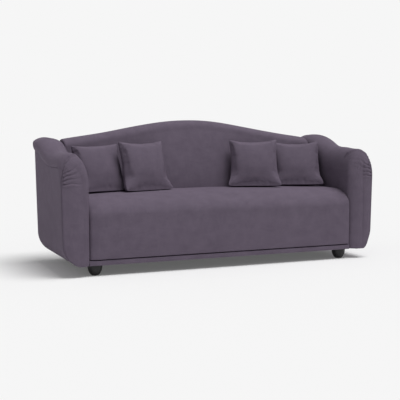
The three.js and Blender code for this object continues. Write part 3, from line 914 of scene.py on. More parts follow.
@dataclass
class Back:
    """The tight back with its camel curve, and the outside back panel behind it."""

    cloth: Finish
    crown: float = 0.008
    end_radius: float = 0.010
    pad_depth: float = 0.076
    top_pad: float = 0.056
    skin: float = 0.0063
    lip: float = 0.0637
    step: float = 0.014
    ease: float = 0.050
    swell_reach: float = 0.2
    swell_depth: float = 0.0016
    seat_fade: float = 0.06
    face_fade: Pair = (0.03, 0.02)
    crest_fade: Pair = (0.055, 0.04)
    panel_thickness: float = 0.0055
    panel_proud: float = 0.001
    panel_corner_radius: float = 0.136
    panel_tuck: float = 0.012
    panel_corner_share: float = 0.85
    panel_rounding: float = 0.0018
    panel_crown: float = 0.0025

    def outline(self, x: float, inset: float) -> np.ndarray:
        """The back's section at a place across the sofa.

        Args:
            x: Place across the sofa.
            inset: How far the outer faces have drawn in.

        Returns:
            A closed outline in Y and Z.
        """
        crest = PLAN.crest(x)
        shoulder = crest - PLAN.shoulder_drop
        top = crest - inset
        bulge = self.crown * (1 - (x / PLAN.inner) ** 4)
        shares = np.linspace(0, 1, 30)
        heights = PLAN.seat_height + (shoulder - PLAN.seat_height) * shares
        face = np.array([PLAN.back_face(z) for z in heights]) + inset
        face -= bulge * 4 * shares * (1 - shares)
        lean = np.column_stack([face, heights])
        ridge = PLAN.crest_place
        nose = quarter((ridge, shoulder), lean[-1], (ridge, top), count=40)
        front = eased(np.vstack([lean, nose[1:]]), self.ease)
        rear = PLAN.back - inset
        seat, low = PLAN.seat_height, PLAN.pad_bottom
        under, lip = crest - self.top_pad, crest - self.lip
        fore, pad = PLAN.back_front + inset, PLAN.back_front + self.pad_depth
        inside, high = PLAN.back - self.skin, PLAN.back_face(under) + self.pad_depth
        return joined([
            ([[fore, low], [fore, seat]], 8),
            (front, 62),
            (quarter((ridge, shoulder), (ridge, top), (rear, shoulder), count=40), 22),
            ([[rear, shoulder], [rear, lip]], 2),
            ([[rear, lip], [inside, lip]], 1),
            ([[inside, lip], [inside, under]], 1),
            ([[inside, under], [high, under]], 3),
            ([[high, under], [pad, seat]], 6),
            ([[pad, seat], [pad, low]], 4),
            ([[pad, low], [fore, low]], 4),
        ])

    def build(self) -> list[Piece]:
        """Makes the back and its outside panel."""
        return [self.build_pad(), self.build_panel()]

    def build_pad(self) -> Piece:
        """Makes the stuffed back."""
        end = PLAN.inner - PLAN.gap
        ends = edge_stations(self.end_radius)
        middle = np.arange(ends[-1] + self.step, end, self.step)
        distances = np.concatenate([ends, middle, [end]])
        places = np.concatenate([-end + distances, (end - distances[:-1])[::-1]])
        rows = []
        for x in places:
            ring = self.outline(x, draw_in(end - abs(x), self.end_radius))
            rows.append(closed_row(ring, x))
        mesh = Mesh()
        mesh.drape(np.array(rows), (1.3, 0.2))
        mesh.weld()
        mesh.shift(self.relief)
        piece = mesh.piece("back", self.cloth, Slot.FABRIC, ("back_cover", "back_foam"))
        return piece

    def relief(self, place: Vector) -> float:
        """Soft swells on the face and top, none against the arms, seat and frame."""
        away = PLAN.clear_of_arms(place.x)
        shown = ramp(place.z, PLAN.seat_height, PLAN.seat_height + self.seat_fade)
        behind, fade = self.face_fade
        face = ramp(PLAN.back_face(place.z) + behind - place.y, -fade, fade)
        crest, (low, high) = PLAN.crest(place.x), self.crest_fade
        above = ramp(place.z, crest - low, crest - high)
        swell = unevenness(place, self.swell_reach, self.swell_depth)
        return swell * away * shown * max(face, above)

    def build_panel(self) -> Piece:
        """Makes the outside back panel, under the camel curve and on behind the arms."""
        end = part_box("outside_back_panel")[1].x
        level = PLAN.crest_end - PLAN.panel_drop
        knee = PLAN.foot_height + self.panel_corner_radius
        reach = (end - PLAN.inner) * self.panel_corner_share
        corner = end - reach + reach * np.sin(np.linspace(0, QUARTER, 14))
        half = np.concatenate([np.arange(0, PLAN.inner, 0.02), [PLAN.inner], corner])
        half = np.unique(half.round(6))
        places = np.concatenate([-half[:0:-1], half])
        rows = []
        for x in places:
            inside = max(0.0, abs(x) - (end - reach)) / reach
            turn = math.sqrt(max(0.0, 1 - inside ** 2))
            low = PLAN.foot_height + self.panel_corner_radius * (1 - turn)
            high = PLAN.crest(x) - PLAN.panel_drop
            heights = np.linspace(low, high, 64)
            across = (1 - (x / end) ** 6) * self.panel_crown
            depths = PLAN.back + self.panel_proud + across * arch(len(heights), 0.6)
            narrow = 1 - self.panel_tuck / end * np.clip((level - heights) / (level - knee), 0, 1)
            rows.append(np.column_stack([x * narrow, depths, heights]))
        mesh = Mesh()
        mesh.drape(np.array(rows), (0.4, 2.6))
        mesh.look((0, 1, 0))
        mesh.thicken(self.panel_thickness, self.panel_rounding)
        piece = mesh.piece("outside_back", self.cloth, Slot.FABRIC, ("outside_back_panel",))
        return piece


@dataclass(frozen=True)
class ArmShape:
    """The arm's form, worked out for the arm at +X."""

    top_front: float = 0.719
    top_rear: float = 0.797
    rise_start: float = 0.254
    rise_end: float = 0.612
    front_inner_round: Pair = (0.034, 0.024)
    front_outer_radius: float = 0.012
    front_top_radius: float = 0.085
    rear_radius: float = 0.088
    rear_top_radius: float = 0.028
    bottom_radius: float = 0.136
    tucks: Pair = (0.007, 0.012)
    flat_share: float = 0.15
    crest_reach: float = 0.100
    crest_share: float = 0.62
    spring_drops: Pair = (0.150, 0.060)
    roll_drops: tuple[float, float, float] = (0.128, 0.071, 0.037)
    roll_settle: float = 0.100
    overhangs: Pair = (0.006, 0.015)
    seam_heights: Pair = (0.630, 0.722)
    seam_rise: Pair = (0.243, 0.742)
    lip: float = 0.014
    hem: float = 0.011
    split: float = 0.55
    runs: tuple[tuple[float, float, float], ...] = (
        (0.0145, 0.080, 0.0025), (0.080, 0.15, 0.004), (0.15, 0.647, 0.0105))
    side_steps: int = 128
    top_steps: int = 52

    def seam(self, y: float) -> float:
        """Height of the seam between the roll and the outside panel."""
        rise = ramp(y - PLAN.front, *self.seam_rise)
        return self.seam_heights[0] + (self.seam_heights[1] - self.seam_heights[0]) * rise

    def edges(self, y: float) -> dict[str, float]:
        """The section's sizes at a depth.

        Args:
            y: Depth.

        Returns:
            Named places of the section.
        """
        ahead, behind = y - PLAN.front, PLAN.back - y
        rise = ramp(ahead, self.rise_start, self.rise_end)
        drop = draw_in(ahead, self.front_top_radius) + draw_in(behind, self.rear_top_radius)
        top = self.top_front + (self.top_rear - self.top_front) * rise - drop
        settle = ramp(ahead, 0, self.roll_settle)
        nose, middle, rear = self.roll_drops
        roll = top - blend(blend(nose, middle, settle), rear, rise)
        outer = (PLAN.outer - draw_in(ahead, self.front_outer_radius)
                 - draw_in(behind, self.rear_radius))
        wide, deep = self.front_inner_round
        inner = PLAN.inner + draw_in(ahead, deep) * wide / deep
        edge = outer + blend(self.overhangs[0] * settle, self.overhangs[1], rise)
        foot = outer - blend(*self.tucks, ramp(ahead, 0, PLAN.back - PLAN.front))
        return {
            "inner": inner, "outer": outer, "top": top, "roll": roll, "edge": edge, "foot": foot,
            "spring": top - blend(*self.spring_drops, rise),
            "crest": min(PLAN.inner + self.crest_reach, blend(inner, edge, self.crest_share)),
            "seam": min(self.seam(y), roll - self.lip),
            "reach": min(self.bottom_radius, (foot - inner) * (1 - self.flat_share)),
        }

    def side_shares(self) -> np.ndarray:
        """Steps up the arm's sides, close together where the front is gathered."""
        coarse = round(self.side_steps * 0.22)
        low = np.linspace(0, self.split, coarse + 1)[:-1]
        return np.concatenate([low, np.linspace(self.split, 1, self.side_steps - coarse + 1)])

    def sides(self, y: float) -> list[np.ndarray]:
        """The four sides of the section: inner, top, outer and bottom.

        Args:
            y: Depth.

        Returns:
            Points in X and Z up the inner side, over the top, down the outer side and back.
        """
        e = self.edges(y)
        low, crest = PLAN.foot_height, e["crest"]
        hem_centre = (e["inner"] + self.hem, low + self.hem)
        hem = (hem_centre, (e["inner"] + self.hem, low), (e["inner"], low + self.hem))
        rise = ((crest, e["spring"]), (e["inner"], e["spring"]), (crest, e["top"]))
        roll, lip = self.roll_and_lip(e)
        round_low = self.low_corner(e)
        up = self.side_shares()
        across = np.linspace(0, 1, self.top_steps + 1)
        inner = np.vstack([quarter(*hem, 0.5, 1), quarter(*rise, 0, 0.6, 40)])
        top = np.vstack([quarter(*rise, 0.6, 1, 30), quarter(*roll, 0, 0.4, 30)])
        outer = np.vstack([quarter(*roll, 0.4, 1, 40), quarter(*lip), quarter(*round_low, 0, 0.5)])
        bottom = np.vstack([quarter(*round_low, 0.5, 1), quarter(*hem, 0, 0.5)])
        return [resampled(inner, up), resampled(top, across),
                resampled(outer, 1 - up[::-1]), resampled(bottom, across)]

    def roll_and_lip(self, edges: dict[str, float]) -> tuple[tuple[Pair, ...], ...]:
        """Centre, start and end of the roll's outer quarter, and of the lip above the seam."""
        crest, outer, level = edges["crest"], edges["outer"], edges["roll"]
        side = (edges["edge"], level)
        return (((crest, level), (crest, edges["top"]), side),
                ((outer, level), side, (outer, edges["seam"])))

    def low_corner(self, edges: dict[str, float]) -> tuple[Pair, ...]:
        """Centre, start and end of the lower outer corner."""
        knee = PLAN.foot_height + self.bottom_radius
        centre = edges["foot"] - edges["reach"]
        return (centre, knee), (edges["foot"], knee), (centre, PLAN.foot_height)

    def outside(self, y: float, high: float, reach: float) -> np.ndarray:
        """The outer line of the section, under a height and as far in as a place.

        Args:
            y: Depth.
            high: Height to start from.
            reach: Place in X to end at, round the lower corner.

        Returns:
            Points in X and Z, from the top.
        """
        e = self.edges(y)
        roll, lip = self.roll_and_lip(e)
        centre, start, end = self.low_corner(e)
        turn = math.acos(min(1.0, max(0.0, (reach - centre[0]) / e["reach"]))) / QUARTER
        low = quarter(centre, start, end, 0, turn, 30)
        line = np.vstack([quarter(*roll, 0.4, 1, 60), quarter(*lip)[1:], low])
        place = np.interp(-high, -line[:, 1], line[:, 0])
        return np.vstack([[place, high], line[line[:, 1] < high - 1e-4]])

    def ring(self, y: float) -> np.ndarray:
        """The closed section at a depth, as points in space."""
        flat = np.vstack([side[:-1] for side in self.sides(y)])
        flat = np.vstack([flat, flat[:1]])
        return np.column_stack([flat[:, 0], np.full(len(flat), y), flat[:, 1]])

    def end_face(self, y: float, crown: float) -> np.ndarray:
        """The net that closes the arm at one end.

        Args:
            y: Depth of the end.
            crown: How far the face swells along Y.

        Returns:
            Rows of points.
        """
        inner, top, outer, bottom = self.sides(y)
        net = patch(inner, outer[::-1], bottom[::-1], top)
        up = np.linspace(-1, 1, net.shape[0])[:, None]
        depth = y + crown * arch(net.shape[1], 1.5)[None, :] * (1 - up ** 8)
        return np.dstack([net[..., 0], depth, net[..., 1]])

    def stations(self) -> np.ndarray:
        """Depths of the sections: close together at the front and where an end is rounded."""
        runs = [np.arange(*run) for run in self.runs]
        return self.depths(edge_stations(self.front_outer_radius), *runs)

    def depths(self, *runs: np.ndarray) -> np.ndarray:
        """Runs of distances from the front, and those of the rounded rear, as depths in order."""
        tail = PLAN.back - PLAN.front - edge_stations(self.rear_radius, 16)[::-1]
        return PLAN.front + np.unique(np.concatenate([*runs, tail]).round(6))


@dataclass(frozen=True)
class Gathers:
    """Pleats of cloth that fan out from the seam where the roll meets the arm's front."""

    start: float = 0.538
    rise: float = 0.140
    reach: float = 0.115
    pitch: float = 0.0180
    depth: float = 0.0105
    count: int = 10
    longest: float = 0.076
    shortest: float = 0.044
    puff: float = 0.0030
    puff_reach: float = 0.03
    seam_gap: float = 0.004
    farthest: float = 0.115
    first: float = 0.75
    bend: Pair = (0.12, 70.0)
    fade_in: float = 0.006
    hollow: float = 0.68

    def length(self, pleat: float) -> float:
        """How far a pleat runs, long at the bottom and short at the top, none the same."""
        share = min(1.0, pleat / self.count)
        vary = 0.8 + 0.45 * abs(math.sin(pleat * 2.4 + 0.7))
        return (self.longest + (self.shortest - self.longest) * share) * vary

    def height(self, inward: float, z: float) -> float:
        """Relief of the pleats.

        Args:
            inward: Distance in from the arm's front outer corner, or minus the distance
                along its side.
            z: Height.

        Returns:
            How far the cloth stands out.
        """
        across, up = inward + self.reach, z - self.start
        if across <= self.seam_gap or up < -self.first * self.pitch or inward > self.farthest:
            return 0.0
        slope = up / across
        if slope <= self.rise / self.reach:
            line = self.reach * slope
            beyond = inward * math.hypot(1, slope)
        else:
            line = self.rise + self.reach - self.rise / slope
            beyond = (up - self.rise) * math.hypot(1, 1 / slope)
        pleat = line / self.pitch + self.first
        if beyond <= 0 or pleat > self.count:
            return 0.0
        sway, rate = self.bend
        phase = pleat + sway * math.sin(beyond * rate + pleat)
        index = math.floor(phase)
        share = phase - index
        reach = self.length(index)
        start = ramp(beyond, 0, self.fade_in)
        fade = math.exp(-(beyond / reach) ** 2) * start
        edge = ramp(pleat, 0, 0.6) * ramp(self.count - pleat, 0, 1.5)
        fold = math.sin(math.pi * share) ** 0.6 - self.hollow
        swell = self.puff * math.exp(-(beyond / self.puff_reach) ** 2) * start
        return (self.depth * fold * fade + swell) * edge


@dataclass(frozen=True)
class Swell:
    """A place on an arm where the stuffing is fuller, or thinner than the even form."""

    place: tuple[float, float, float]
    reach: float
    depth: float

    def at(self, x: float, y: float, z: float) -> float:
        """How far the cloth stands out at a place, X being the distance from the sofa's middle."""
        away = math.dist(self.place, (x, y, z)) / self.reach
        return self.depth * math.exp(-away ** 2)


@dataclass
class Arm:
    """One arm: stuffed cover with its roll and gathered front, and the outside panel."""

    side: Side
    cloth: Finish
    shape: ArmShape
    swells: tuple[Swell, ...] = ()
    gathers: Gathers = field(default_factory=Gathers)
    gather_inset: float = 0.006
    face_crown: float = 0.007
    panel_start: float = 0.0072
    panel_corner: float = 0.030
    panel_limit: float = 0.925
    panel_proud: float = 0.0012
    panel_crown: float = 0.0015
    panel_thickness: float = 0.0035
    panel_rounding: float = 0.0012
    recess: float = 0.0032
    recess_top: float = 0.73
    recess_edge: float = 0.006
    gather_depth: float = 0.12
    gather_heights: Pair = (0.48, 0.72)
    gather_limit: float = 0.9
    gather_turn: float = 0.004
    inner_fade: Pair = (0.01, 0.05)
    low_fade: Pair = (0.1, 0.3)
    rear_fade: float = 0.05
    swell_reach: float = 0.15
    swell_depth: float = 0.0012

    def panel_top(self, y: float) -> float:
        """Height of the outside panel's upper edge, with its rounded front corner."""
        start = PLAN.front + self.panel_start
        return self.shape.seam(y) - draw_in(max(0.0, y - start), self.panel_corner)

    def recessed(self, place: Vector) -> float:
        """How far the arm's stuffing gives way under the panel."""
        x = abs(place.x)
        if x < self.panel_limit or place.z > self.recess_top:
            return 0.0
        inside = min(place.y - PLAN.front - self.panel_start, self.panel_top(place.y) - place.z,
                     x - self.panel_limit)
        return self.recess * ramp(inside, 0.0, self.recess_edge)

    def relief(self, place: Vector) -> float:
        """Gathers, soft swells and the give under the panel."""
        x = abs(place.x)
        ahead = place.y - PLAN.front
        corner = PLAN.outer - self.gather_inset
        inward = corner - x - max(0.0, ahead - self.gather_turn)
        height = 0.0
        low, high = self.gather_heights
        if ahead < self.gather_depth and low < place.z < high and x > self.gather_limit:
            height = self.gathers.height(inward, place.z)
        shown = ramp(x - PLAN.inner, *self.inner_fade) * ramp(place.z, *self.low_fade)
        clear = ramp(PLAN.back - place.y, 0.0, self.rear_fade)
        height += sum(swell.at(x, place.y, place.z) for swell in self.swells)
        height += unevenness(place, self.swell_reach, self.swell_depth) * shown * clear
        return height - self.recessed(place)

    def build(self) -> list[Piece]:
        """Makes the stuffed arm and its panel."""
        return [self.build_cover(), self.build_panel()]

    def build_cover(self) -> Piece:
        """Makes the stuffed arm."""
        shape = self.shape
        mesh = Mesh()
        rows = np.array([shape.ring(y) for y in shape.stations()])
        mesh.drape(rows, (0.0, 0.3))
        mesh.drape(shape.end_face(PLAN.front, -self.face_crown), (0.05, 0.7))
        mesh.drape(self.rear_face(), (0.8, 1.7))
        mesh.mirror(self.side)
        mesh.weld()
        mesh.shift(self.relief)
        word = self.side.word
        nodes = (f"arm_cover_{word}", f"arm_foam_{word}")
        piece = mesh.piece(f"arm_{word}", self.cloth, Slot.FABRIC, nodes)
        return piece

    def rear_face(self) -> np.ndarray:
        """The net that closes the arm behind, set in where the outside back panel lies."""
        net = self.shape.end_face(PLAN.back, 0.0)
        low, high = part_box("outside_back_panel")
        covered = (net[..., 0] < high.x - 0.001) & (net[..., 2] < PLAN.crest_end - PLAN.panel_drop)
        covered[0, :] = covered[:, 0] = covered[:, -1] = False
        net[..., 1] = np.where(covered, low.y - PLAN.gap, net[..., 1])
        return net

    def panel_row(self, y: float) -> np.ndarray:
        """One line of the outside panel, from the seam down and round the lower corner."""
        line = self.shape.outside(y, self.panel_top(y), self.panel_limit)
        line = resampled(line, np.linspace(0, 1, 80))
        return np.column_stack([line[:, 0], np.full(len(line), y), line[:, 1]])

    def build_panel(self) -> Piece:
        """Makes the outside panel."""
        depth = PLAN.back - PLAN.front
        nose = self.panel_start + edge_stations(self.panel_corner, 12)
        body = np.arange(nose[-1] + 0.012, depth - self.shape.rear_radius, 0.014)
        rows = np.array([self.panel_row(y) for y in self.shape.depths(nose, body)])
        across = np.gradient(rows, axis=1)
        along = np.gradient(rows, axis=0)
        normal = np.cross(along, across)
        normal /= np.linalg.norm(normal, axis=2, keepdims=True)
        normal *= np.sign(normal[..., 0].mean())
        length, height = arch(rows.shape[0], 0.4)[:, None], arch(rows.shape[1], 0.4)[None, :]
        rows = rows + normal * (self.panel_proud + self.panel_crown * length * height)[..., None]
        mesh = Mesh()
        mesh.drape(rows, (0.2, 1.1))
        mesh.mirror(self.side)
        mesh.data.normal_update()
        outward = sum(face.normal.x for face in mesh.data.faces) * self.side.value
        if outward < 0:
            bmesh.ops.reverse_faces(mesh.data, faces=mesh.data.faces)
        mesh.thicken(self.panel_thickness, self.panel_rounding)
        word = self.side.word
        nodes = (f"outside_arm_panel_{word}",)
        piece = mesh.piece(f"outside_arm_{word}", self.cloth, Slot.FABRIC, nodes)
        return piece


@dataclass
class Base:
    """What lies under the seat's front edge and under the frame."""

    cloth: Finish
    lining: Finish
    webbing: Finish
    steel: Finish
    band_rounding: float = 0.004
    band_crown: float = 0.0012
    band_overlap: float = 0.0025
    band_slot: float = 0.0022
    band_lip: Pair = (0.007, 0.0019)
    band_step: float = 0.02
    band_swell: float = 0.09
    cover_thickness: float = 0.0012
    cover_sag: float = 0.004
    cover_steps: tuple[int, int] = (230, 88)
    deck_steps: tuple[int, int] = (90, 34)
    hole: float = 0.012
    staple: tuple[float, float, float] = (0.010, 0.0012, 0.0007)
    staple_pitch: float = 0.045
    staple_inset: float = 0.008
    staple_margin: float = 0.03
    staple_turn: float = 0.1
    strap_thickness: float = 0.0018
    strap_rounding: float = 0.0004
    strap_steps: tuple[int, int] = (120, 13)

    def build(self) -> list[Piece]:
        """Makes the band, the dust cover and its staples, the deck cloth and the straps."""
        made = [self.build_band(), self.build_dust_cover(), self.build_staples(), self.build_deck()]
        made += [self.build_strap(name) for name in ("back_strap_1", "back_strap_2")]
        return made

    def build_band(self) -> Piece:
        """Makes the narrow band under the seat's groove."""
        low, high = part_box("base_band_front")
        low.x, high.x = low.x - self.band_overlap, high.x + self.band_overlap
        thick, rise = self.band_lip
        level = high.z + rise
        high.z -= self.band_slot
        mesh = Mesh()
        mesh.block(high - low, (low + high) / 2)
        mesh.round_off(self.band_rounding, 5)
        mesh.cut((0, high.y - thick, 0), (0, 1, 0))
        for vert in mesh.data.verts:
            if vert.co.y > high.y - thick + WELD and vert.co.z > (low.z + high.z) / 2:
                vert.co.z += level - high.z
        for x in np.arange(low.x + self.band_step, high.x - self.band_step / 2, self.band_step):
            mesh.cut((x, 0, 0), (1, 0, 0))
        for vert in mesh.data.verts:
            if vert.co.y < (low.y + high.y) / 2:
                vert.co.y += unevenness(vert.co, self.band_swell, self.band_crown)
        for face in mesh.data.faces:
            for loop in face.loops:
                place = loop.vert.co
                loop[mesh.weave].uv = (place.x, place.z - place.y)
        mesh.data.normal_update()
        piece = mesh.piece("base_band", self.cloth, Slot.FABRIC, ("base_band_front",))
        return piece

    def flat_cloth(self, node: str, sag: float, steps: tuple[int, int],
                   holes: Sequence[Vector] = ()) -> tuple[Mesh, Pair]:
        """A level cloth in the place of a node.

        Args:
            node: The frame's node.
            sag: How far its middle hangs.
            steps: Steps across and along.
            holes: Places of bolts that pass through.

        Returns:
            The mesh and its flat size.
        """
        low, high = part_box(node)
        across = np.linspace(low.x, high.x, steps[0])
        along = np.linspace(low.y, high.y, steps[1])
        hang = sag * np.outer(arch(steps[1]), arch(steps[0]))
        rows = np.dstack([*np.meshgrid(across, along), high.z - hang])
        mesh = Mesh()
        mesh.drape(rows)
        cut = [face for face in mesh.data.faces
               if any((face.calc_center_median().xy - hole.xy).length < self.hole
                      for hole in holes)]
        if cut:
            bmesh.ops.delete(mesh.data, geom=cut, context="FACES")
        mesh.look((0, 0, 1))
        mesh.thicken(self.cover_thickness, self.cover_thickness / 4)
        return mesh, (high.x - low.x, high.y - low.y)

    def build_dust_cover(self) -> Piece:
        """Makes the lining under the frame, which hangs a little in the middle."""
        names = [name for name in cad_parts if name.startswith("foot_bolt_")]
        bolts = [sum(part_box(name), Vector()) / 2 for name in names]
        mesh, flat = self.flat_cloth("dust_cover", self.cover_sag, self.cover_steps, bolts)
        piece = mesh.piece("dust_lining", self.lining, Slot.LINING, ("dust_cover",))
        return piece

    def build_staples(self) -> Piece:
        """Makes the row of staples round the dust cover."""
        low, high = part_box("dust_cover")
        mesh = Mesh()
        inset, margin = self.staple_inset, self.staple_margin
        wide = np.arange(low.x + margin, high.x - margin, self.staple_pitch)
        deep = np.arange(low.y + margin, high.y - margin, self.staple_pitch)
        spots = [(x, y, 0.0) for x in wide for y in (low.y + inset, high.y - inset)]
        spots += [(x, y, QUARTER) for y in deep for x in (low.x + inset, high.x - inset)]
        under = high.z - self.cover_thickness - self.staple[2] / 2
        for x, y, turn in spots:
            askew = self.staple_turn * math.sin(31 * x + 17 * y)
            mesh.block(self.staple, (x, y, under), turn + askew)
        return mesh.piece("dust_lining_staples", self.steel, Slot.STEEL)

    def build_deck(self) -> Piece:
        """Makes the cloth on the springs, under the seat's foam."""
        mesh, flat = self.flat_cloth("deck_cloth", 0.0, self.deck_steps)
        piece = mesh.piece("deck_cloth_sheet", self.lining, Slot.LINING, ("deck_cloth",))
        return piece

    def build_strap(self, node: str) -> Piece:
        """Makes one elastic strap across the back.

        Args:
            node: The frame's strap.

        Returns:
            The strap.
        """
        corners = np.array([vert.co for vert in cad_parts[node].data.vertices])
        low, high = corners.min(axis=0), corners.max(axis=0)
        top = corners[corners[:, 2] > high[2] - 1e-4][:, 1].mean()
        base = corners[corners[:, 2] < low[2] + 1e-4][:, 1].mean()
        across = np.linspace(low[0], high[0], self.strap_steps[0])
        shares = np.linspace(0, 1, self.strap_steps[1])
        rows = np.array([[(x, base + (top - base) * share, low[2] + (high[2] - low[2]) * share)
                          for x in across] for share in shares])
        mesh = Mesh()
        mesh.drape(rows)
        mesh.thicken(self.strap_thickness, self.strap_rounding)
        piece = mesh.piece(f"{node}_web", self.webbing, Slot.WEBBING, (node,))
        return piece


@dataclass
class Foot:
    """One turned half-ball foot."""

    name: str
    lacquer: Finish
    flat_radius: float = 0.020
    shoulder: float = 0.006
    rounding: float = 0.002
    glide: float = 0.0012

    def build(self) -> Piece:
        """Turns the foot and dresses it."""
        low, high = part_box(self.name)
        centre = (low + high) / 2
        radius = (high.x - low.x) / 2
        waist = high.z - self.shoulder
        fall = waist / math.sqrt(1 - (self.flat_radius / radius) ** 2)
        heights = waist * np.linspace(0, 1, 26) ** 1.4
        side = [(radius * math.sqrt(1 - ((waist - z) / fall) ** 2), z) for z in heights]
        rim = quarter((radius - self.rounding, high.z - self.rounding),
                      (radius, high.z - self.rounding), (radius - self.rounding, high.z), count=6)
        base = [(0.0, 0.0), (self.flat_radius - 2 * self.glide, 0.0),
                (self.flat_radius - self.glide, self.glide)]
        profile = [*base, *side[1:], *map(tuple, rim), (0.0, high.z)]
        mesh = Mesh()
        points = [mesh.data.verts.new((centre.x + r, centre.y, z)) for r, z in profile]
        lines = [mesh.data.edges.new(pair) for pair in zip(points, points[1:])]
        bmesh.ops.spin(
            mesh.data, geom=[*points, *lines], cent=(centre.x, centre.y, 0), axis=(0, 0, 1),
            angle=2 * math.pi, steps=64, use_merge=True)
        mesh.weld()
        return mesh.piece(f"{self.name}_turned", self.lacquer, Slot.LACQUER, (self.name,))


@dataclass(frozen=True)
class Stuffing:
    """How one loose pillow has settled, as shares of its sizes."""

    number: int
    dip: float = 0.0
    settle: float = 0.12
    ears: Pair = (0.0, 0.0)
    sides: Pair = (0.0, 0.0)
    low_corners: Pair = (0.0, 0.0)


@dataclass
class Pillow:
    """A loose knife-edge pillow that rides on its own body."""

    stuffing: Stuffing
    cloth: Finish
    steps: int = 72
    drawn: float = 0.015
    side_drawn: float = 0.010
    low_inset: float = -0.006
    corner_cut: float = 0.006
    fullness: Pair = (0.50, 0.30)
    low_fullness: Pair = (0.95, 0.30)
    low_seam_set: float = 0.042
    low_seam_start: float = 0.3
    low_change: Pair = (-0.4, 0.8)
    half_start: float = -0.2
    start_share: float = 0.84
    pressure: float = 4.0
    frames: int = 20
    cap: float = 0.011
    low_hold: float = 0.15
    hold_reach: float = 0.075
    pucker_pitch: float = 0.024
    pucker_depth: float = 0.0016
    pucker_reach: float = 0.030
    seam: float = 0.0016

    def frame_of(self) -> tuple[Matrix, Vector]:
        """The pillow's own axes and size, from its insert and cover in the frame.

        Returns:
            The matrix that carries width, thickness and height to the sofa's frame, and the
            cover's size.
        """
        number = self.stuffing.number
        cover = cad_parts[f"pillow_{number}_cover"]
        points = np.array([vert.co for vert in cover.data.vertices], float)
        centred = points - points.mean(axis=0)
        axes = np.linalg.eigh(centred.T @ centred)[1].T[::-1]
        thick = axes[2] * -np.sign(axes[2][1])
        wide = np.cross((0.0, 0.0, 1.0), -thick)
        wide /= np.linalg.norm(wide)
        wide *= np.sign(wide[0])
        up = np.cross(wide, -thick)
        up *= np.sign(up[2])
        basis = np.array([wide, -thick, up])
        local = points @ basis.T
        low, high = local.min(axis=0), local.max(axis=0)
        middle = basis.T @ ((low + high) / 2)
        matrix = Matrix(basis.T.tolist()).to_4x4()
        matrix.translation = Vector(middle)
        return matrix, Vector(high - low)

    def face(self, size: Vector, front: float) -> np.ndarray:
        """One face of the pillow in its own axes.

        Args:
            size: Width, thickness and height.
            front: -1 for the front face and 1 for the back.

        Returns:
            Rows of points.
        """
        s = self.stuffing
        stops = np.sin(np.linspace(-QUARTER, QUARTER, self.steps + 1))
        u, v = np.meshgrid(stops, stops)
        upper, lower = (smoothstep(half, self.half_start, 1.0) for half in (v, -v))
        share = (u + 1) / 2
        cut = self.corner_cut * np.abs(u * v) ** 10
        x = u * (size.x / 2 - self.side_drawn * (1 - v * v) - cut)
        x += s.sides[0] * (1 - share) ** 2 + s.sides[1] * share ** 2
        x += lower * (s.low_corners[0] * (1 - share) ** 2 + s.low_corners[1] * share ** 2)
        dip = self.drawn * (1 + s.dip) * (1 - u * u)
        z = v * (size.z / 2 - cut) - upper * dip + lower * self.low_inset
        z += upper * (s.ears[0] * (1 - share) ** 1.5 + s.ears[1] * share ** 1.5)
        settled = v + s.settle * (1 - v * v)
        side = 0 if front < 0 else 1
        power = self.fullness[side]
        upright = blend(power, self.low_fullness[side], smoothstep(-v, *self.low_change))
        crown = np.clip(1 - u * u, 0, 1) ** power * np.clip(1 - settled * settled, 0, 1) ** upright
        y = front * (size.y / 2 * self.start_share * crown + self.seam / 2)
        y -= self.low_seam_set * (1 - crown) * smoothstep(-v, self.low_seam_start, 1.0)
        return np.dstack([x, y, z])

    def puckers(self, place: Vector, size: Vector) -> float:
        """Small radial creases along the seam.

        Args:
            place: A point in the pillow's own axes.
            size: Width, thickness and height.

        Returns:
            How far the cloth stands out there.
        """
        half = (size.x / 2, size.z / 2)
        sides = ((half[0] - abs(place.x), place.z, 1.0 if place.x > 0 else 2.0),
                 (half[1] - abs(place.z), place.x, 3.0 if place.z > 0 else 4.0))
        height = 0.0
        for inside, along, key in sides:
            seed = (along / self.pucker_pitch, key * 7.1, self.stuffing.number * 3.3)
            wave = noise.noise(Vector(seed))
            fade = math.exp(-(max(0.0, inside - self.drawn * 0.6) / self.pucker_reach) ** 2)
            height += wave * fade * self.pucker_depth
        return height

    def inflate(self, piece: Piece) -> None:
        """Blows the cloth up a little and lets it crease, then keeps the result.

        Args:
            piece: The pillow, which is changed.
        """
        scene = bpy.context.scene
        before = np.empty(len(piece.data.vertices) * 3)
        piece.data.vertices.foreach_get("co", before)
        cloth = piece.modifiers.new("fill", "CLOTH")
        for key, value in CLOTH_SETTINGS.items():
            setattr(cloth.settings, key, value)
        cloth.settings.uniform_pressure_force = self.pressure
        cloth.settings.effector_weights.gravity = 0
        cloth.collision_settings.use_collision = False
        cloth.collision_settings.use_self_collision = False
        cloth.point_cache.frame_start = 1
        cloth.point_cache.frame_end = self.frames
        for number in range(1, self.frames + 1):
            scene.frame_set(number)
        graph = bpy.context.evaluated_depsgraph_get()
        blown = piece.evaluated_get(graph).data
        after = np.empty_like(before)
        blown.vertices.foreach_get("co", after)
        piece.modifiers.remove(cloth)
        scene.frame_set(1)
        move = (after - before).reshape(-1, 3)
        length = np.linalg.norm(move, axis=1, keepdims=True)
        move *= np.minimum(1, self.cap / np.maximum(length, 1e-9))
        rise = before[2::3] - before[2::3].min()
        move *= blend(self.low_hold, 1.0, smoothstep(rise, 0.0, self.hold_reach))[:, None]
        piece.data.vertices.foreach_set("co", before + move.ravel())
        piece.data.update()

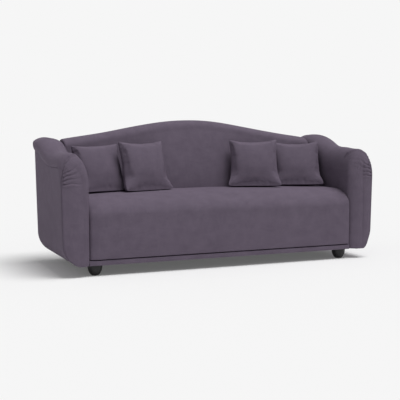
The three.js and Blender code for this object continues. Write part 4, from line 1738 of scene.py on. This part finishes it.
    def build(self) -> Piece:
        """Makes, fills and places the pillow."""
        number = self.stuffing.number
        matrix, size = self.frame_of()
        mesh = Mesh()
        mesh.drape(self.face(size, -1.0), (0.3 * number, 0.1))
        mesh.drape(self.face(size, 1.0), (0.3 * number + 0.5, 0.1))
        self.close_rim(mesh)
        mesh.shift(lambda place: self.puckers(place, size))
        bmesh.ops.transform(mesh.data, matrix=matrix, verts=mesh.data.verts)
        nodes = (f"pillow_{number}_cover", f"pillow_{number}_insert")
        piece = mesh.piece(f"pillow_{number}", self.cloth, Slot.FABRIC, nodes, f"pillow_{number}")
        self.inflate(piece)
        return piece

    def close_rim(self, mesh: Mesh) -> None:
        """Joins the two faces along their rims with a narrow seam."""
        rims = [edge for edge in mesh.data.edges if edge.is_boundary]
        bmesh.ops.bridge_loops(mesh.data, edges=rims)
        bmesh.ops.recalc_face_normals(mesh.data, faces=mesh.data.faces)


@dataclass
class Frame:
    """Finishes for the pieces of the frame that keep their own shape."""

    steel: Finish

    def dress(self) -> None:
        """Gives timber and steel to what is still to be seen of the frame."""
        timber = {axis: Timber(axis).material() for axis in Axis}
        for name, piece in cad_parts.items():
            if piece.hide_render:
                continue
            low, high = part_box(name)
            size = high - low
            if "spring_batten" not in name and ("spring" in name or "bolt" in name):
                finish, slot = self.steel, Slot.STEEL
            else:
                longest = max(range(3), key=lambda k: size[k])
                finish, slot = timber[list(Axis)[longest]], Slot.TIMBER
            piece.data.materials.clear()
            piece.data.materials.append(finish)
            LOG.info("%s: %s", name, finish.name)


@dataclass
class Studio:
    """Floor, light and camera."""

    pale: float = 0.9216
    ambient: float = 0.25
    floor_reach: float = 60.0
    shadow_lifting_glow: float = 0.112
    key_level: float = 0.75
    key_height: float = 72.0
    key_turn: float = 45.0
    key_spread: float = 36.0
    camera_place: tuple[float, float, float] = (-2.2408, -5.1596, 0.8979)
    camera_turn: float = 23.145
    camera_pitch: float = 5.191
    camera_lens: float = 78.13
    camera_sensor: float = 36.0

    def build(self) -> None:
        """Makes the floor, the world, the lamps and the camera."""
        self.build_floor()
        self.build_world()
        self.build_lamp("key", self.key_level, self.key_height, self.key_turn, self.key_spread)
        self.build_camera()

    def build_floor(self) -> None:
        """Makes the pale floor, which glows a little of its own: painted light that makes the
        shadow under the sofa lighter.
        """
        mesh = bmesh.new()
        bmesh.ops.create_grid(mesh, x_segments=8, y_segments=8, size=self.floor_reach)
        made = bpy.data.meshes.new("floor")
        mesh.to_mesh(made)
        mesh.free()
        shader = Shader("pale_floor")
        made.materials.append(shader.finished({
            "Base Color": (*[self.pale * (1 - self.shadow_lifting_glow)] * 3, 1.0),
            "Roughness": 0.9,
            "Specular IOR Level": 0.0,
            # Part of the floor's brightness is its own glow, painted light that lightens the shadow
            # under the sofa; lit floor stays at the pale level.
            "Emission Color": (1.0, 1.0, 1.0, 1.0),
            "Emission Strength": self.pale * self.shadow_lifting_glow,
        }))
        added("floor", made)

    def build_world(self) -> None:
        """Makes an even sky, which the camera and mirrors see as a pale backdrop."""
        world = bpy.data.worlds.new("studio")
        world.use_nodes = True
        tree = world.node_tree
        tree.nodes.clear()
        kinds = {"path": "LightPath", "seen": "Math", "glass": "Math", "light": "Background",
                 "backdrop": "Background", "mix": "MixShader", "output": "OutputWorld"}
        nodes = {name: tree.nodes.new(f"ShaderNode{kind}") for name, kind in kinds.items()}
        for name in ("seen", "glass"):
            nodes[name].operation = "MAXIMUM"
        for name, level, strength in (("light", 1.0, self.ambient), ("backdrop", self.pale, 1.0)):
            nodes[name].inputs["Color"].default_value = (level, level, level, 1)
            nodes[name].inputs["Strength"].default_value = strength
        for source, output, target, value in (
                ("path", "Is Glossy Ray", "glass", 0), ("path", "Is Transmission Ray", "glass", 1),
                ("path", "Is Camera Ray", "seen", 0), ("glass", 0, "seen", 1),
                ("seen", 0, "mix", 0), ("light", 0, "mix", 1), ("backdrop", 0, "mix", 2),
                ("mix", 0, "output", "Surface")):
            tree.links.new(nodes[source].outputs[output], nodes[target].inputs[value])
        bpy.context.scene.world = world

    def build_lamp(self, name: str, level: float, height: float, turn: float,
                   spread: float) -> None:
        """Makes a wide, soft sun.

        Args:
            name: The lamp's name.
            level: Light that it adds on a level surface.
            height: Its height over the horizon, in degrees.
            turn: Its turn from straight in front, to the right, in degrees.
            spread: Its width, in degrees.
        """
        data = bpy.data.lights.new(name, "SUN")
        data.energy = level * math.pi / math.sin(math.radians(height))
        data.angle = math.radians(spread)
        added(name, data).rotation_euler = (math.radians(90 - height), 0, math.radians(turn))

    def build_camera(self) -> None:
        """Makes the camera at the photograph's place."""
        data = bpy.data.cameras.new("camera")
        data.sensor_width = self.camera_sensor
        data.lens = self.camera_lens
        camera = added("camera", data)
        camera.location = self.camera_place
        pitch, turn = math.radians(90 - self.camera_pitch), math.radians(-self.camera_turn)
        camera.rotation_euler = (pitch, 0, turn)
        bpy.context.scene.camera = camera


def main() -> None:
    """Builds the sofa, its finishes and the studio, in order."""
    logging.basicConfig(level=logging.INFO, format="%(message)s")
    bpy.context.scene.view_settings.view_transform = "Standard"
    Studio().build()
    cloth, steel, lining, webbing, lacquer = (
        finish().material() for finish in (Cloth, Steel, Lining, Webbing, Lacquer))
    Seat(cloth).build()
    Back(cloth).build()
    Arm(Side.LEFT, cloth, ArmShape(), (
        Swell((1.006, 0.25, 0.797), 0.07, -0.005),
        Swell((1.045, -0.27, 0.665), 0.09, -0.004),
    )).build()
    Arm(Side.RIGHT, cloth, ArmShape(front_inner_round=(0.088, 0.048)), (
        Swell((0.930, 0.26, 0.800), 0.09, 0.008),
        Swell((1.000, 0.04, 0.745), 0.06, -0.004),
        Swell((0.990, -0.12, 0.720), 0.07, 0.005),
        Swell((1.045, -0.27, 0.665), 0.09, -0.008),
    )).build()
    Base(cloth, lining, webbing, steel).build()
    for name in ("foot_front_left", "foot_rear_left", "foot_front_right", "foot_rear_right"):
        Foot(name, lacquer).build()
    settled = [
        Stuffing(1, dip=-0.1, ears=(-0.008, 0.002)),
        Stuffing(2, dip=0.1, ears=(0.007, 0.008), sides=(0.006, 0.0), low_corners=(-0.010, 0.0)),
        Stuffing(3, dip=0.2, ears=(0.009, 0.012), sides=(0.004, 0.0), low_corners=(-0.014, 0.004)),
        Stuffing(4, dip=0.5, ears=(0.004, 0.004), sides=(0.0, 0.010)),
    ]
    for stuffing in settled:
        Pillow(stuffing, cloth).build()
    Frame(steel).dress()
    LOG.info("sizes written")


if __name__ == "__main__":
    main()
